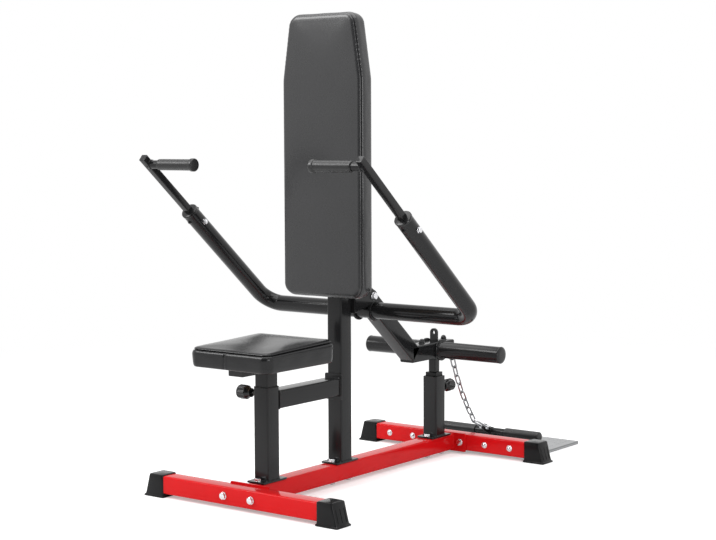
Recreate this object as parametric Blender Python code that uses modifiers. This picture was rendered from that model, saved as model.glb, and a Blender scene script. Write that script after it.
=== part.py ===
"""Seated dip machine: a red base, a seat and back rest on black posts, and a press arm whose
weight lever swings on a pivot behind the main post.

Metres, +Z up. The user sits facing -Y, and +X is the user's left. The origin is on the floor,
under the middle of the machine. Depths below are measured from the main post's axis.
"""
import math

import bmesh
import bpy
from mathutils import Euler, Matrix, Vector

GAP = 0.0003

# Sides of a round shape, from small to large
ROUND_SIDES = 16
WIDE_ROUND_SIDES = 24

# Square steel tube of the frame
TUBE = 0.050
TUBE_WALL = 0.0025
TUBE_CORNER = 0.005

# Base
FRONT_BAR_Y = -0.420
FRONT_BAR_LENGTH = 0.630
REAR_BAR_Y = 0.578
REAR_BAR_LENGTH = 0.648
FOOT_FLOOR = 0.0105
FOOT_WALL = 0.003
FOOT_COVER = 0.047
FOOT_END = 0.004
FOOT_FLARE = 0.017
FOOT_LIP = 0.003
FOOT_LIP_HEIGHT = 0.005
FLANGE_RIM = 0.004
FLANGE_THICK = 0.006
FLANGE_BOLT_OUT = 0.023
FLANGE_BOLT_EDGE = 0.020
FLANGE_BOLT_X = TUBE / 2 + FLANGE_BOLT_OUT
FLANGE_WIDTH = 2 * (FLANGE_BOLT_X + FLANGE_BOLT_EDGE)
FLANGE_HEIGHT = TUBE + 2 * FLANGE_RIM
BASE_PLATE_RIM = 0.005
BASE_PLATE_THICK = 0.005
BASE_BOLT_OUT = 0.013
BASE_BOLT_EDGE = 0.012
BASE_BOLT_Y = TUBE / 2 + BASE_BOLT_OUT
BASE_PLATE_WIDTH = TUBE + 2 * BASE_PLATE_RIM
BASE_PLATE_LENGTH = 2 * (BASE_BOLT_Y + BASE_BOLT_EDGE)

# Fasteners
BOLT = 0.010
BOLT_HEAD = 0.0196
BOLT_HEAD_HEIGHT = 0.0064
NUT_HEIGHT = 0.0065
BOLT_PLAY = 0.0005
BOLT_SIDES = 12
BOLT_END_INSET = 0.001
PIVOT_BOLT = 0.012
PIVOT_HEAD = 0.022
BUSH_WALL = 0.0035

# Posts
SEAT_POST_Y = -0.322
SEAT_POST_TOP = 0.317
REAR_POST_Y = 0.476
REAR_POST_TOP = 0.250
MAIN_POST_TOP = 1.150
STRUT_Z = 0.2805
STRUT_PLATE = 0.005
STRUT_PLATE_HEIGHT = 0.075
CAP_TOP = 0.004
CAP_PLUG = 0.015

# Seat
INNER_PLAY = 0.00025
INNER_TUBE = TUBE - 2 * (TUBE_WALL + INNER_PLAY)
INNER_CORNER = 0.004
SEAT_TUBE_BOTTOM = 0.110
SEAT_HOLE_PITCH = 0.040
SEAT_HOLES = range(-1, 4)
SEAT_FRAME_WIDTH = 0.050
SEAT_FRAME_HEIGHT = 0.020
SEAT_FRAME_WALL = 0.002
SEAT_FRAME_FRONT = -0.4445
SEAT_FRAME_REAR = -0.215
SEAT_WIDTH = 0.274
SEAT_DEPTH = 0.288
SEAT_CENTRE_Y = -0.334
SEAT_UNDERSIDE = 0.379
SEAT_THICK = 0.050
SEAT_RISE = 0.012
SEAT_CORNER = 0.026

# Back rest
BACK_WIDTH = 0.280
BACK_TOP_WIDTH = 0.226
BACK_BOTTOM = 0.540
BACK_SHOULDER = 1.145
BACK_TOP = 1.325
BACK_THICK = 0.050
BACK_CORNER = 0.034
BACK_BRACKET_THICK = 0.003
BACK_BRACKET_WIDTH = 0.110
BACK_BRACKET_HEIGHT = 0.070
BACK_BRACKET_Z = (0.640, 1.080)

# Both cushions
BOARD_THICK = 0.012
BOARD_INSET = 0.012
LEAST_CORNER = 0.006
SQUARE_CORNER = math.radians(60)
CROWN = 0.006
SIDE_DRAW = 0.003
SEAM_DOWN = 0.014
SEAM_DEPTH = 0.0022
EDGE_ROLL = 0.009
UNDER_ROLL = 0.008
UNDER_ROLL_HEIGHT = 0.003
SIDE_EASE = 0.0008
WAIST_SHARE = 0.45
SEAM_BELOW = 0.005
SEAM_ABOVE = 0.004
CROWN_START = 0.030
CROWN_START_SHARE = 0.6
CROWN_FLAT = 0.070

# Pull knobs
KNOB_DIAMETER = 0.040
KNOB_LENGTH = 0.043
KNOB_NECK = 0.024
KNOB_EDGE = 0.005
KNOB_RIM = 0.028
KNOB_STAND = 0.026
KNOB_PIN = 0.010
KNOB_BOSS = 0.020
KNOB_BOSS_LENGTH = 0.012
SEAT_KNOB_Z = 0.296
STOP_KNOB_Z = 0.211

# Pivot and weight lever
PIVOT_Y = 0.115
PIVOT_Z = 0.528
BRACKET_THICK = 0.005
BRACKET_NOSE = 0.0175
BRACKET_BASE = (0.486, 0.590)
LEVER_TOP_END = 0.030
JUNCTION_Y = 0.347
HORN_Z = 0.332
TAIL_REAR = 0.548
TAIL_FRONT_REACH = 0.016
GUSSET_THICK = 0.0053
GUSSET_RADIUS = 0.031
GUSSET_CLEARANCE = 0.0013
LEG = 0.025
LEG_CORNER = 0.003
LUG_THICK = 0.008
LUG_WIDTH = 0.026
LUG_TOP = 0.397
LUG_HOLE = 0.011
HORN_DIAMETER = 0.050
HORN_WALL = 0.003
HORN_TIP = 0.247
HORN_CAP_DOME = 0.006
HORN_CAP_STEPS = 5
HORN_FLANGE = 0.066
HORN_FLANGE_THICK = 0.006
EYE_THICK = 0.006
EYE_FRONT = 0.520
EYE_Y = 0.576
EYE_DROP = 0.009
EYE_RADIUS = 0.012
EYE_HOLE = 0.013
EYE_CLEARANCE = 0.0013

# Press arm and handles
ARM_DIAMETER = 0.048
ARM_WALL = 0.0025
ARM_HALF_WIDTH = 0.3745
ARM_Y = 0.130
ARM_CLEARANCE = 0.0015
ARM_ANGLE = math.radians(40.2)
ARM_BEND = 0.058
ARM_BEND_STEPS = 6
ARM_RESOLUTION = 6
ARM_REACH = 0.4453
HANDLE_BAR = 0.020
BAR_CORNER = 0.002
HANDLE_BAR_IN = 0.075
HANDLE_BAR_OUT = 0.2426
ARM_BOLT = 0.008
ARM_BOLT_HEAD = 0.015
ARM_BOLT_HEAD_HEIGHT = 0.006
ARM_BOLT_BACK = 0.043
GRIP_CORE = 0.024
GRIP_DIAMETER = 0.031
GRIP_FLANGE = 0.036
GRIP_FLANGE_LENGTH = 0.012
GRIP_START = 0.335
GRIP_END = 0.202
GRIP_END_WALL = 0.004
GRIP_BACK = 0.0275

# Height stop under the lever
STOP_TUBE_BOTTOM = 0.105
STOP_PAD_THICK = 0.012
STOP_PAD_INSET = 0.00225
STOP_PAD = INNER_TUBE - 2 * STOP_PAD_INSET
STOP_HOLE_PITCH = 0.025
STOP_HOLES = range(-2, 2)

# Chain and row bar
LINK_WIRE = 0.005
LINK_INSIDE = 0.032
LINK_WIDTH = 0.020
LINK_COUNT = 8
LINK_CURL = math.radians(2.4)
MOST_TILT = math.radians(80)
HALVINGS = 40
SHACKLE_WIRE = 0.007
SHACKLE_WIDTH = 0.030
SHACKLE_LENGTH = 0.070
SHACKLE_TILT = math.radians(64)
SHACKLE_PIN = 0.008
SHACKLE_EAR = 0.014
ROW_BAR_LENGTH = 0.366
ROW_BAR = 0.025
ROW_GRIP = 0.033
ROW_GRIP_LENGTH = 0.127
ROW_GRIP_END = 0.003
ROW_LUG_THICK = 0.006
ROW_LUG_REACH = 0.046
ROW_LUG_NOSE = 0.011
ROW_LUG_BASE = 0.026

# Footplate
FOOTPLATE_HALF = 0.270
FOOTPLATE_DEPTH = 0.297
FOOTPLATE_THICK = 0.003
FOOTPLATE_TOP = 0.010
FOOTPLATE_EDGE = 0.0005
FOOTPLATE_FLANGE_TOP = 0.056
NUT_WINDOW = 0.028

BASE_Z = FOOT_FLOOR + TUBE / 2
RAIL_TOP = BASE_Z + TUBE / 2
FOOTPLATE_FRONT = REAR_BAR_Y + TUBE / 2 + GAP
REAR_EDGE = FOOTPLATE_FRONT + FOOTPLATE_DEPTH
FRONT_EDGE = SEAT_CENTRE_Y - SEAT_DEPTH / 2
EYE_Z = HORN_Z - TUBE / 2 - EYE_DROP
ARM_Z = PIVOT_Z - BRACKET_NOSE - ARM_DIAMETER / 2 - ARM_CLEARANCE
POST_Y = -(REAR_EDGE + FRONT_EDGE) / 2
BACK_PLANE = -TUBE / 2 - BACK_BRACKET_THICK
LEVER_ANGLE = math.atan2(PIVOT_Z - HORN_Z, JUNCTION_Y - PIVOT_Y)
LEVER_LENGTH = math.hypot(PIVOT_Z - HORN_Z, JUNCTION_Y - PIVOT_Y)
ROW_BAR_Z = FOOTPLATE_TOP + GAP + ROW_GRIP / 2
BRACKET_OUTSIDE = TUBE / 2 + GUSSET_THICK + GUSSET_CLEARANCE + BRACKET_THICK
LEG_BOTTOM = REAR_POST_TOP + STOP_PAD_THICK + 2 * GAP
POST_DEPTHS = {"seat_post": SEAT_POST_Y, "main_post": 0.0, "rear_post": REAR_POST_Y}
SIDES = ((-1, "right"), (1, "left"))

# Turns that lay a shape's own Z axis along a world axis, or its flat outline in a world plane
ALONG_X = (0, math.pi / 2, 0)
ALONG_MINUS_X = (0, -math.pi / 2, 0)
ALONG_Y = (-math.pi / 2, 0, 0)
ALONG_MINUS_Y = (math.pi / 2, 0, 0)
SIDE_VIEW = (math.pi / 2, 0, math.pi / 2)
FRONT_VIEW = (math.pi / 2, 0, 0)


def clear_scene():
    """Empties the scene, so the script gives the same model each time it runs."""
    for obj in list(bpy.data.objects):
        bpy.data.objects.remove(obj, do_unlink=True)


def collection(name):
    """Adds a collection to the scene."""
    made = bpy.data.collections.new(name)
    bpy.context.scene.collection.children.link(made)
    return made


def material(name, colour, roughness, metallic=0.0):
    """A Principled material in one colour."""
    made = bpy.data.materials.new(name)
    made.use_nodes = True
    shader = made.node_tree.nodes["Principled BSDF"]
    shader.inputs["Base Color"].default_value = (*colour, 1.0)
    shader.inputs["Roughness"].default_value = roughness
    shader.inputs["Metallic"].default_value = metallic
    return made


clear_scene()
PARTS = collection("seated_dip_machine")
CUTTERS = collection("cutters")
RED_PAINT = material("red_paint", (0.75, 0.012, 0.018), 0.25)
BLACK_COAT = material("black_powder_coat", (0.028, 0.028, 0.029), 0.5)
LEATHERETTE = material("black_leatherette", (0.035, 0.035, 0.037), 0.45)
RUBBER = material("black_rubber", (0.02, 0.02, 0.02), 0.8)
PLASTIC = material("black_plastic", (0.02, 0.02, 0.021), 0.4)
CHROME = material("chrome", (0.8, 0.8, 0.82), 0.15, 1.0)
PLATE_STEEL = material("checker_plate", (0.55, 0.55, 0.56), 0.4, 0.6)
PLYWOOD = material("plywood", (0.42, 0.27, 0.14), 0.7)


def world(where):
    """The world point of (x, depth from the main post, z)."""
    return Vector((where[0], where[1] + POST_Y, where[2]))


def part(name, mesh, finish, where, turn=(0, 0, 0), carrier=None):
    """A named piece of the machine, parented to the empty that it moves with."""
    obj = bpy.data.objects.new(name, mesh)
    PARTS.objects.link(obj)
    obj.location = world(where)
    obj.rotation_euler = turn
    if not mesh.materials:
        mesh.materials.append(finish)
    if carrier:
        obj.parent = carrier
        obj.matrix_parent_inverse = Matrix.Translation(carrier.location).inverted()
    return obj


def axis_empty(name, where):
    """The empty on a joint's axis that carries the pieces which move on that joint."""
    obj = bpy.data.objects.new(name, None)
    PARTS.objects.link(obj)
    obj.location = world(where)
    return obj


def shape_modifier(obj, operation, name, mesh, where, turn):
    """Adds a Boolean with a hidden helper object that holds the other shape."""
    other = bpy.data.objects.new(f"{obj.name}_{name}", mesh)
    CUTTERS.objects.link(other)
    other.location = world(where)
    other.rotation_euler = turn
    other.hide_render = True
    other.display_type = "WIRE"
    step = obj.modifiers.new(name, "BOOLEAN")
    step.operation = operation
    step.object = other


def join(obj, name, mesh, where, turn=(0, 0, 0)):
    """Joins a shape to a part."""
    shape_modifier(obj, "UNION", name, mesh, where, turn)


def cut(obj, name, mesh, where, turn=(0, 0, 0)):
    """Cuts a shape out of a part."""
    shape_modifier(obj, "DIFFERENCE", name, mesh, where, turn)


def box_mesh(width, depth, height):
    """A box with its middle at the origin."""
    mesh = bpy.data.meshes.new("box")
    build = bmesh.new()
    bmesh.ops.create_cube(build, size=1.0)
    bmesh.ops.scale(build, vec=(width, depth, height), verts=build.verts)
    build.to_mesh(mesh)
    build.free()
    return mesh


def rod_mesh(diameter, length, sides=ROUND_SIDES, places=((0, 0),)):
    """Round or hexagonal rods along their own Z axis, one at each (x, y) place."""
    mesh = bpy.data.meshes.new("rod")
    build = bmesh.new()
    for x, y in places:
        bmesh.ops.create_cone(build, cap_ends=True, segments=sides, radius1=diameter / 2,
                              radius2=diameter / 2, depth=length,
                              matrix=Matrix.Translation((x, y, 0)))
    build.to_mesh(mesh)
    build.free()
    return mesh


def prism_mesh(width, height, length, corner, open_ends=False):
    """A rectangular bar, or a tube's outer skin, along its own Z axis, with round long edges."""
    mesh = bpy.data.meshes.new("prism")
    build = bmesh.new()
    bmesh.ops.create_cube(build, size=1.0)
    bmesh.ops.scale(build, vec=(width, height, length), verts=build.verts)
    long_edges = []
    for edge in build.edges:
        first, last = edge.verts
        if abs(first.co.z - last.co.z) > length / 2:
            long_edges.append(edge)
    bmesh.ops.bevel(build, geom=long_edges, offset=corner, segments=2, profile=0.5,
                    affect="EDGES")
    if open_ends:
        build.normal_update()
        ends = [face for face in build.faces if abs(face.normal.z) > 0.5]
        bmesh.ops.delete(build, geom=ends, context="FACES_ONLY")
    build.to_mesh(mesh)
    build.free()
    return mesh


def tube(name, size, length, corner, wall, finish, where, turn=(0, 0, 0), carrier=None):
    """A rectangular tube, open at both ends, along its own Z axis."""
    obj = part(name, prism_mesh(*size, length, corner, True), finish, where, turn, carrier)
    step = obj.modifiers.new("wall", "SOLIDIFY")
    step.thickness = wall
    step.offset = -1
    step.use_even_offset = True
    return obj


def mesh_of(curve):
    """The closed mesh that a curve makes, with its caps welded on."""
    obj = bpy.data.objects.new("curve", curve)
    CUTTERS.objects.link(obj)
    graph = bpy.context.evaluated_depsgraph_get()
    mesh = bpy.data.meshes.new_from_object(obj.evaluated_get(graph))
    bpy.data.objects.remove(obj)
    bpy.data.curves.remove(curve)
    build = bmesh.new()
    build.from_mesh(mesh)
    bmesh.ops.remove_doubles(build, verts=build.verts, dist=0.000001)
    bmesh.ops.recalc_face_normals(build, faces=build.faces)
    build.to_mesh(mesh)
    build.free()
    mesh.materials.clear()
    return mesh


def poly_spline(curve, points, closed):
    """Adds straight runs through the points to a curve."""
    spline = curve.splines.new("POLY")
    spline.points.add(len(points) - 1)
    for target, point in zip(spline.points, points):
        target.co = (*point, 1.0)
    spline.use_cyclic_u = closed


def plate_mesh(outline, thickness):
    """A flat outline in its own XY plane, given a thickness about that plane."""
    curve = bpy.data.curves.new("plate", "CURVE")
    curve.dimensions = "2D"
    curve.fill_mode = "BOTH"
    curve.extrude = thickness / 2
    poly_spline(curve, [(x, y, 0.0) for x, y in outline], True)
    return mesh_of(curve)


def wire_mesh(points, diameter, resolution, closed=False):
    """A round wire or tube along points."""
    curve = bpy.data.curves.new("wire", "CURVE")
    curve.dimensions = "3D"
    curve.bevel_depth = diameter / 2
    curve.bevel_resolution = resolution
    curve.use_fill_caps = True
    poly_spline(curve, points, closed)
    return mesh_of(curve)


def turned(name, profile, closed, finish, where, turn, carrier=None):
    """A piece turned about its own Z axis from (radius, height) points, down its outer side."""
    mesh = bpy.data.meshes.new(name)
    last = len(profile)
    edges = [(at, (at + 1) % last) for at in range(last if closed else last - 1)]
    mesh.from_pydata([(radius, 0, height) for radius, height in profile], edges, [])
    obj = part(name, mesh, finish, where, turn, carrier)
    step = obj.modifiers.new("turn", "SCREW")
    step.angle = 2 * math.pi
    step.steps = ROUND_SIDES
    step.render_steps = ROUND_SIDES
    step.use_merge_vertices = True
    step.merge_threshold = 0.00001
    step.use_smooth_shade = True
    return obj


def arc(centre, radius, start, end, steps):
    """Points on an arc, from one angle to another."""
    x, y = centre
    angles = [start + (end - start) * at / steps for at in range(steps + 1)]
    return [(x + radius * math.cos(angle), y + radius * math.sin(angle)) for angle in angles]


def nose_outline(first, last, centre, radius, steps=10):
    """A straight base from last back to first, run by tangents into a round nose, anticlockwise."""
    away = Vector(first) - Vector(centre)
    start = math.atan2(away.y, away.x) + math.acos(radius / away.length)
    away = Vector(last) - Vector(centre)
    end = math.atan2(away.y, away.x) - math.acos(radius / away.length)
    while end < start:
        end += 2 * math.pi
    return [first, *arc(centre, radius, start, end, steps), last]


def fused_mesh(shapes):
    """One mesh from several overlapping (mesh, height) shapes set along one Z axis."""
    base = bpy.data.objects.new("fused", shapes[0][0])
    CUTTERS.objects.link(base)
    base.location.z = shapes[0][1]
    others = []
    for mesh, height in shapes[1:]:
        other = bpy.data.objects.new("fused_with", mesh)
        CUTTERS.objects.link(other)
        other.location.z = height
        step = base.modifiers.new("fuse", "BOOLEAN")
        step.operation = "UNION"
        step.object = other
        others.append(other)
    graph = bpy.context.evaluated_depsgraph_get()
    mesh = bpy.data.meshes.new_from_object(base.evaluated_get(graph))
    mesh.transform(Matrix.Translation((0, 0, shapes[0][1])))
    for obj in [base, *others]:
        bpy.data.objects.remove(obj)
    return mesh


def bolt_mesh(shank, head, head_height, grip):
    """A hexagon bolt whose head sits on Z = 0 and whose nut is below the grip."""
    nut_middle = -grip - NUT_HEIGHT / 2
    shank_length = grip + head_height / 2 + NUT_HEIGHT - BOLT_END_INSET
    shank_middle = head_height / 2 - shank_length / 2
    return fused_mesh([
        (rod_mesh(shank, shank_length, BOLT_SIDES), shank_middle),
        (rod_mesh(head, head_height, 6), head_height / 2),
        (rod_mesh(head, NUT_HEIGHT, 6), nut_middle),
    ])


def stabiliser(name, depth, length):
    """A cross bar on the floor, bored for the two bolts of the rail's flange."""
    bar = tube(name, (TUBE, TUBE), length, TUBE_CORNER, TUBE_WALL, RED_PAINT,
               (0, depth, BASE_Z), ALONG_X)
    places = ((-FLANGE_BOLT_X, 0), (FLANGE_BOLT_X, 0))
    holes = rod_mesh(BOLT + 2 * BOLT_PLAY, 2 * TUBE, BOLT_SIDES, places)
    cut(bar, "bolt_holes", holes, (0, depth, BASE_Z), ALONG_Y)


def foot(name, depth, bar_length, side):
    """A rubber foot drawn over a cross bar's end, flared outwards, with a lip at the floor."""
    inner = bar_length / 2 - FOOT_COVER
    outer = bar_length / 2 + GAP + FOOT_END
    width = TUBE + 2 * (GAP + FOOT_WALL)
    height = BASE_Z + TUBE / 2 + GAP + FOOT_WALL
    mesh = box_mesh(outer - inner, width, height)
    for vertex in mesh.vertices:
        if vertex.co.x * side > 0 and vertex.co.z < 0:
            vertex.co.x += side * FOOT_FLARE
    boot = part(name, mesh, RUBBER, (side * (inner + outer) / 2, depth, height / 2))
    lip_length = outer + FOOT_FLARE - inner + 2 * FOOT_LIP
    lip_middle = side * (inner + outer + FOOT_FLARE) / 2
    lip = box_mesh(lip_length, width + 2 * FOOT_LIP, FOOT_LIP_HEIGHT)
    join(boot, "lip", lip, (lip_middle, depth, FOOT_LIP_HEIGHT / 2))
    pocket = box_mesh(2 * (FOOT_COVER + GAP), TUBE + 2 * GAP, TUBE + 2 * GAP)
    cut(boot, "pocket", pocket, (side * inner, depth, BASE_Z))


def main_rail():
    """The long tube between the cross bars, with a bolted flange welded on each end."""
    front = FRONT_BAR_Y + TUBE / 2 + GAP
    rear = REAR_BAR_Y - TUBE / 2 - GAP
    rail = tube("main_rail", (TUBE, TUBE), rear - front - FLANGE_THICK, TUBE_CORNER, TUBE_WALL,
                RED_PAINT, (0, (front + rear) / 2, BASE_Z), ALONG_Y)
    for name, depth in (("front", front + FLANGE_THICK / 2), ("rear", rear - FLANGE_THICK / 2)):
        plate = box_mesh(FLANGE_WIDTH, FLANGE_THICK, FLANGE_HEIGHT)
        join(rail, f"{name}_flange", plate, (0, depth, BASE_Z))
    places = ((-FLANGE_BOLT_X, 0), (FLANGE_BOLT_X, 0))
    holes = rod_mesh(BOLT + 2 * BOLT_PLAY, 2 * (rear - front), BOLT_SIDES, places)
    cut(rail, "flange_holes", holes, (0, (front + rear) / 2, BASE_Z), ALONG_Y)
    places = [(0, depth + side * BASE_BOLT_Y) for depth in POST_DEPTHS.values() for side in (-1, 1)]
    holes = rod_mesh(BOLT + 2 * BOLT_PLAY, 2 * TUBE, BOLT_SIDES, places)
    cut(rail, "post_holes", holes, (0, 0, BASE_Z))


def post(name, top):
    """An upright square tube welded on a bolted base plate."""
    depth = POST_DEPTHS[name]
    bottom = RAIL_TOP + GAP + BASE_PLATE_THICK / 2
    upright = tube(name, (TUBE, TUBE), top - bottom, TUBE_CORNER, TUBE_WALL, BLACK_COAT,
                   (0, depth, (top + bottom) / 2))
    plate = box_mesh(BASE_PLATE_WIDTH, BASE_PLATE_LENGTH, BASE_PLATE_THICK)
    join(upright, "base_plate", plate, (0, depth, bottom))
    places = ((0, -BASE_BOLT_Y), (0, BASE_BOLT_Y))
    holes = rod_mesh(BOLT + 2 * BOLT_PLAY, 4 * BASE_PLATE_THICK, BOLT_SIDES, places)
    cut(upright, "bolt_holes", holes, (0, depth, bottom))
    return upright


def knob_boss(upright, where, turn, axis):
    """The boss on a post that the pull knob's pin runs in."""
    boss = rod_mesh(KNOB_BOSS, KNOB_BOSS_LENGTH + TUBE_WALL / 2)
    reach = TUBE / 2 + KNOB_BOSS_LENGTH / 2 - TUBE_WALL / 4
    join(upright, "knob_boss", boss, Vector(where) + Vector(axis) * reach, turn)
    bore = rod_mesh(KNOB_PIN + 2 * BOLT_PLAY, 2 * KNOB_BOSS_LENGTH)
    cut(upright, "knob_bore", bore, Vector(where) + Vector(axis) * TUBE / 2, turn)


def pull_knob(name, where, turn, axis):
    """A round pull knob whose pin bears on the inner tube, on an empty at the pin's tip."""
    tip = INNER_TUBE / 2 + GAP
    start = TUBE / 2 + KNOB_STAND
    end = start + KNOB_LENGTH
    radius = KNOB_DIAMETER / 2
    rim = end - KNOB_EDGE
    profile = [(0, end), (radius - KNOB_EDGE, end)]
    profile += arc((radius - KNOB_EDGE, rim), KNOB_EDGE, math.radians(60), 0, 2)
    profile += [(radius, end - KNOB_RIM), (KNOB_NECK / 2, start + KNOB_EDGE)]
    profile += [(KNOB_NECK / 2, start), (KNOB_PIN / 2, start), (KNOB_PIN / 2, tip), (0, tip)]
    carrier = axis_empty(f"{name}_axis", Vector(where) + Vector(axis) * tip)
    turned(name, profile, False, PLASTIC, where, turn, carrier)


def strut():
    """The tube that ties the seat post to the main post, on an end plate."""
    front = SEAT_POST_Y + TUBE / 2 + GAP
    rear = -TUBE / 2 - GAP - STRUT_PLATE / 2
    bar = tube("seat_strut", (TUBE, TUBE), rear - front, TUBE_CORNER, TUBE_WALL, BLACK_COAT,
               (0, (front + rear) / 2, STRUT_Z), ALONG_Y)
    plate = box_mesh(BASE_PLATE_WIDTH, STRUT_PLATE, STRUT_PLATE_HEIGHT)
    join(bar, "end_plate", plate, (0, rear, STRUT_Z))


def back_brackets(upright):
    """The two plates on the main post's front that the back board is screwed to."""
    for number, height in enumerate(BACK_BRACKET_Z):
        depth = BACK_BRACKET_THICK + TUBE_WALL / 2
        plate = box_mesh(BACK_BRACKET_WIDTH, depth, BACK_BRACKET_HEIGHT)
        join(upright, f"back_bracket_{number}", plate, (0, BACK_PLANE + depth / 2, height))


def post_cap():
    """The plug in the main post's open top."""
    inside = TUBE - 2 * (TUBE_WALL + GAP)
    middle = MAIN_POST_TOP + GAP + CAP_TOP / 2
    cap = part("post_cap", prism_mesh(TUBE, TUBE, CAP_TOP, TUBE_CORNER), PLASTIC, (0, 0, middle))
    plug = prism_mesh(inside, inside, CAP_PLUG, TUBE_CORNER)
    join(cap, "plug", plug, (0, 0, middle - CAP_PLUG / 2))


def footplate():
    """The folded steel plate behind the machine, with a flange up the rear bar's back."""
    middle = FOOTPLATE_FRONT + FOOTPLATE_DEPTH / 2
    height = FOOTPLATE_TOP - FOOTPLATE_EDGE
    tray = part("footplate", box_mesh(2 * FOOTPLATE_HALF, FOOTPLATE_DEPTH, height), PLATE_STEEL,
                (0, middle, FOOTPLATE_EDGE + height / 2))
    flange_bottom = FOOTPLATE_TOP - FOOTPLATE_THICK / 2
    flange_height = FOOTPLATE_FLANGE_TOP - flange_bottom
    flange_depth = FOOTPLATE_FRONT + FOOTPLATE_THICK / 2
    flange = box_mesh(2 * FOOTPLATE_HALF, FOOTPLATE_THICK, flange_height)
    join(tray, "flange", flange, (0, flange_depth, flange_bottom + flange_height / 2))
    hollow_width = 2 * (FOOTPLATE_HALF - FOOTPLATE_THICK)
    hollow_depth = FOOTPLATE_DEPTH - 2 * FOOTPLATE_THICK
    under = box_mesh(hollow_width, hollow_depth, 2 * (height - FOOTPLATE_THICK))
    cut(tray, "underside", under, (0, middle, FOOTPLATE_EDGE))
    places = ((-FLANGE_BOLT_X, 0), (FLANGE_BOLT_X, 0))
    windows = rod_mesh(NUT_WINDOW, 4 * FOOTPLATE_THICK, ROUND_SIDES, places)
    cut(tray, "nut_windows", windows, (0, flange_depth, BASE_Z), ALONG_Y)


def base_bolts():
    """The bolts through the rail's flanges, and those through each post's base plate."""
    across = bolt_mesh(BOLT, BOLT_HEAD, BOLT_HEAD_HEIGHT, TUBE + FLANGE_THICK + 3 * GAP)
    front_head = FRONT_BAR_Y - TUBE / 2 - GAP
    rear_head = REAR_BAR_Y - TUBE / 2 - FLANGE_THICK - 2 * GAP
    for name, depth in (("front", front_head), ("rear", rear_head)):
        for side, word in SIDES:
            where = (side * FLANGE_BOLT_X, depth, BASE_Z)
            part(f"{name}_flange_bolt_{word}", across, CHROME, where, ALONG_MINUS_Y)
    down = bolt_mesh(BOLT, BOLT_HEAD, BOLT_HEAD_HEIGHT, TUBE + BASE_PLATE_THICK + 3 * GAP)
    for name, depth in POST_DEPTHS.items():
        for side, word in ((-1, "front"), (1, "rear")):
            where = (0, depth + side * BASE_BOLT_Y, RAIL_TOP + BASE_PLATE_THICK + 2 * GAP)
            part(f"{name}_bolt_{word}", down, CHROME, where)


def inset_corners(corners, inset):
    """Moves every side of an anticlockwise outline inwards by the same distance."""
    moved = []
    for at, corner in enumerate(corners):
        before = (Vector(corner) - Vector(corners[at - 1])).normalized()
        after = (Vector(corners[(at + 1) % len(corners)]) - Vector(corner)).normalized()
        inwards = Vector((-before.y - after.y, before.x + after.x)).normalized()
        moved.append(Vector(corner) + inwards * inset / math.cos(before.angle(after) / 2))
    return moved


def side_points(first, last, runs):
    """The points that cut a straight side into equal runs."""
    return [tuple(Vector(first).lerp(Vector(last), at / runs)) for at in range(1, runs)]


def rounded_outline(corners, inset, radius, runs):
    """An inset outline with round corners, and each side cut into its own number of runs."""
    corners = inset_corners(corners, inset)
    outline = []
    for at, corner in enumerate(corners):
        before = (corner - corners[at - 1]).normalized()
        after = (corners[(at + 1) % len(corners)] - corner).normalized()
        bend = before.angle(after)
        stretch = [tuple(corner)]
        if bend > SQUARE_CORNER:
            inwards = Vector((-before.y, before.x))
            centre = corner - before * radius * math.tan(bend / 2) + inwards * radius
            start = math.atan2(-inwards.y, -inwards.x)
            stretch = arc(centre, radius, start, start + bend, 3)
        if outline:
            outline += side_points(outline[-1], stretch[0], runs[at - 1])
        outline += stretch
    return outline + side_points(outline[-1], outline[0], runs[-1])


def cushion_rings(thick):
    """(inset, height) from the underside up: drawn-in side, seam, rolled edge and crown."""
    edge = thick - CROWN
    seam = edge - SEAM_DOWN
    return [
        (UNDER_ROLL, 0.0),
        (SIDE_EASE, UNDER_ROLL_HEIGHT),
        (SIDE_DRAW, WAIST_SHARE * seam),
        (SIDE_EASE, seam - SEAM_BELOW),
        (SEAM_DEPTH, seam),
        (0.0, seam + SEAM_ABOVE),
        (0.0, edge - EDGE_ROLL / 2),
        (EDGE_ROLL, edge),
        (CROWN_START, edge + CROWN_START_SHARE * CROWN),
        (CROWN_FLAT, thick),
    ]


def padded(word, corners, corner, runs, thick, where, turn, carrier=None, rise=0.0):
    """A cushion over a board in a pocket in its underside, thicker by the rise at its far edge."""
    build = bmesh.new()
    loops = []
    near = min(y for _, y in corners)
    length = max(y for _, y in corners) - near
    for inset, height in cushion_rings(thick):
        outline = rounded_outline(corners, inset, max(corner - inset, LEAST_CORNER), runs)
        slope = rise * height / thick / length
        loops.append([build.verts.new((x, y, height + slope * (y - near))) for x, y in outline])
    for lower, upper in zip(loops, loops[1:]):
        for at in range(len(lower)):
            build.faces.new((lower[at - 1], lower[at], upper[at], upper[at - 1]))
    build.faces.new(loops[0][::-1])
    build.faces.new(loops[-1])
    mesh = bpy.data.meshes.new(f"{word}_cushion")
    build.to_mesh(mesh)
    build.free()
    mesh.shade_smooth()
    cushion = part(f"{word}_cushion", mesh, LEATHERETTE, where, turn, carrier)
    step = cushion.modifiers.new("soften", "SUBSURF")
    step.levels = 1
    step.render_levels = 1
    whole = [1] * len(corners)
    pocket = rounded_outline(corners, BOARD_INSET - GAP, corner - BOARD_INSET + GAP, whole)
    cut(cushion, "pocket", plate_mesh(pocket, 2 * (BOARD_THICK + 2 * GAP)), where, turn)
    outline = rounded_outline(corners, BOARD_INSET, corner - BOARD_INSET, whole)
    lift = Vector((0, 0, GAP + BOARD_THICK / 2))
    lift.rotate(Euler(turn))
    board = plate_mesh(outline, BOARD_THICK)
    part(f"{word}_board", board, PLYWOOD, Vector(where) + lift, turn, carrier)


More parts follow.
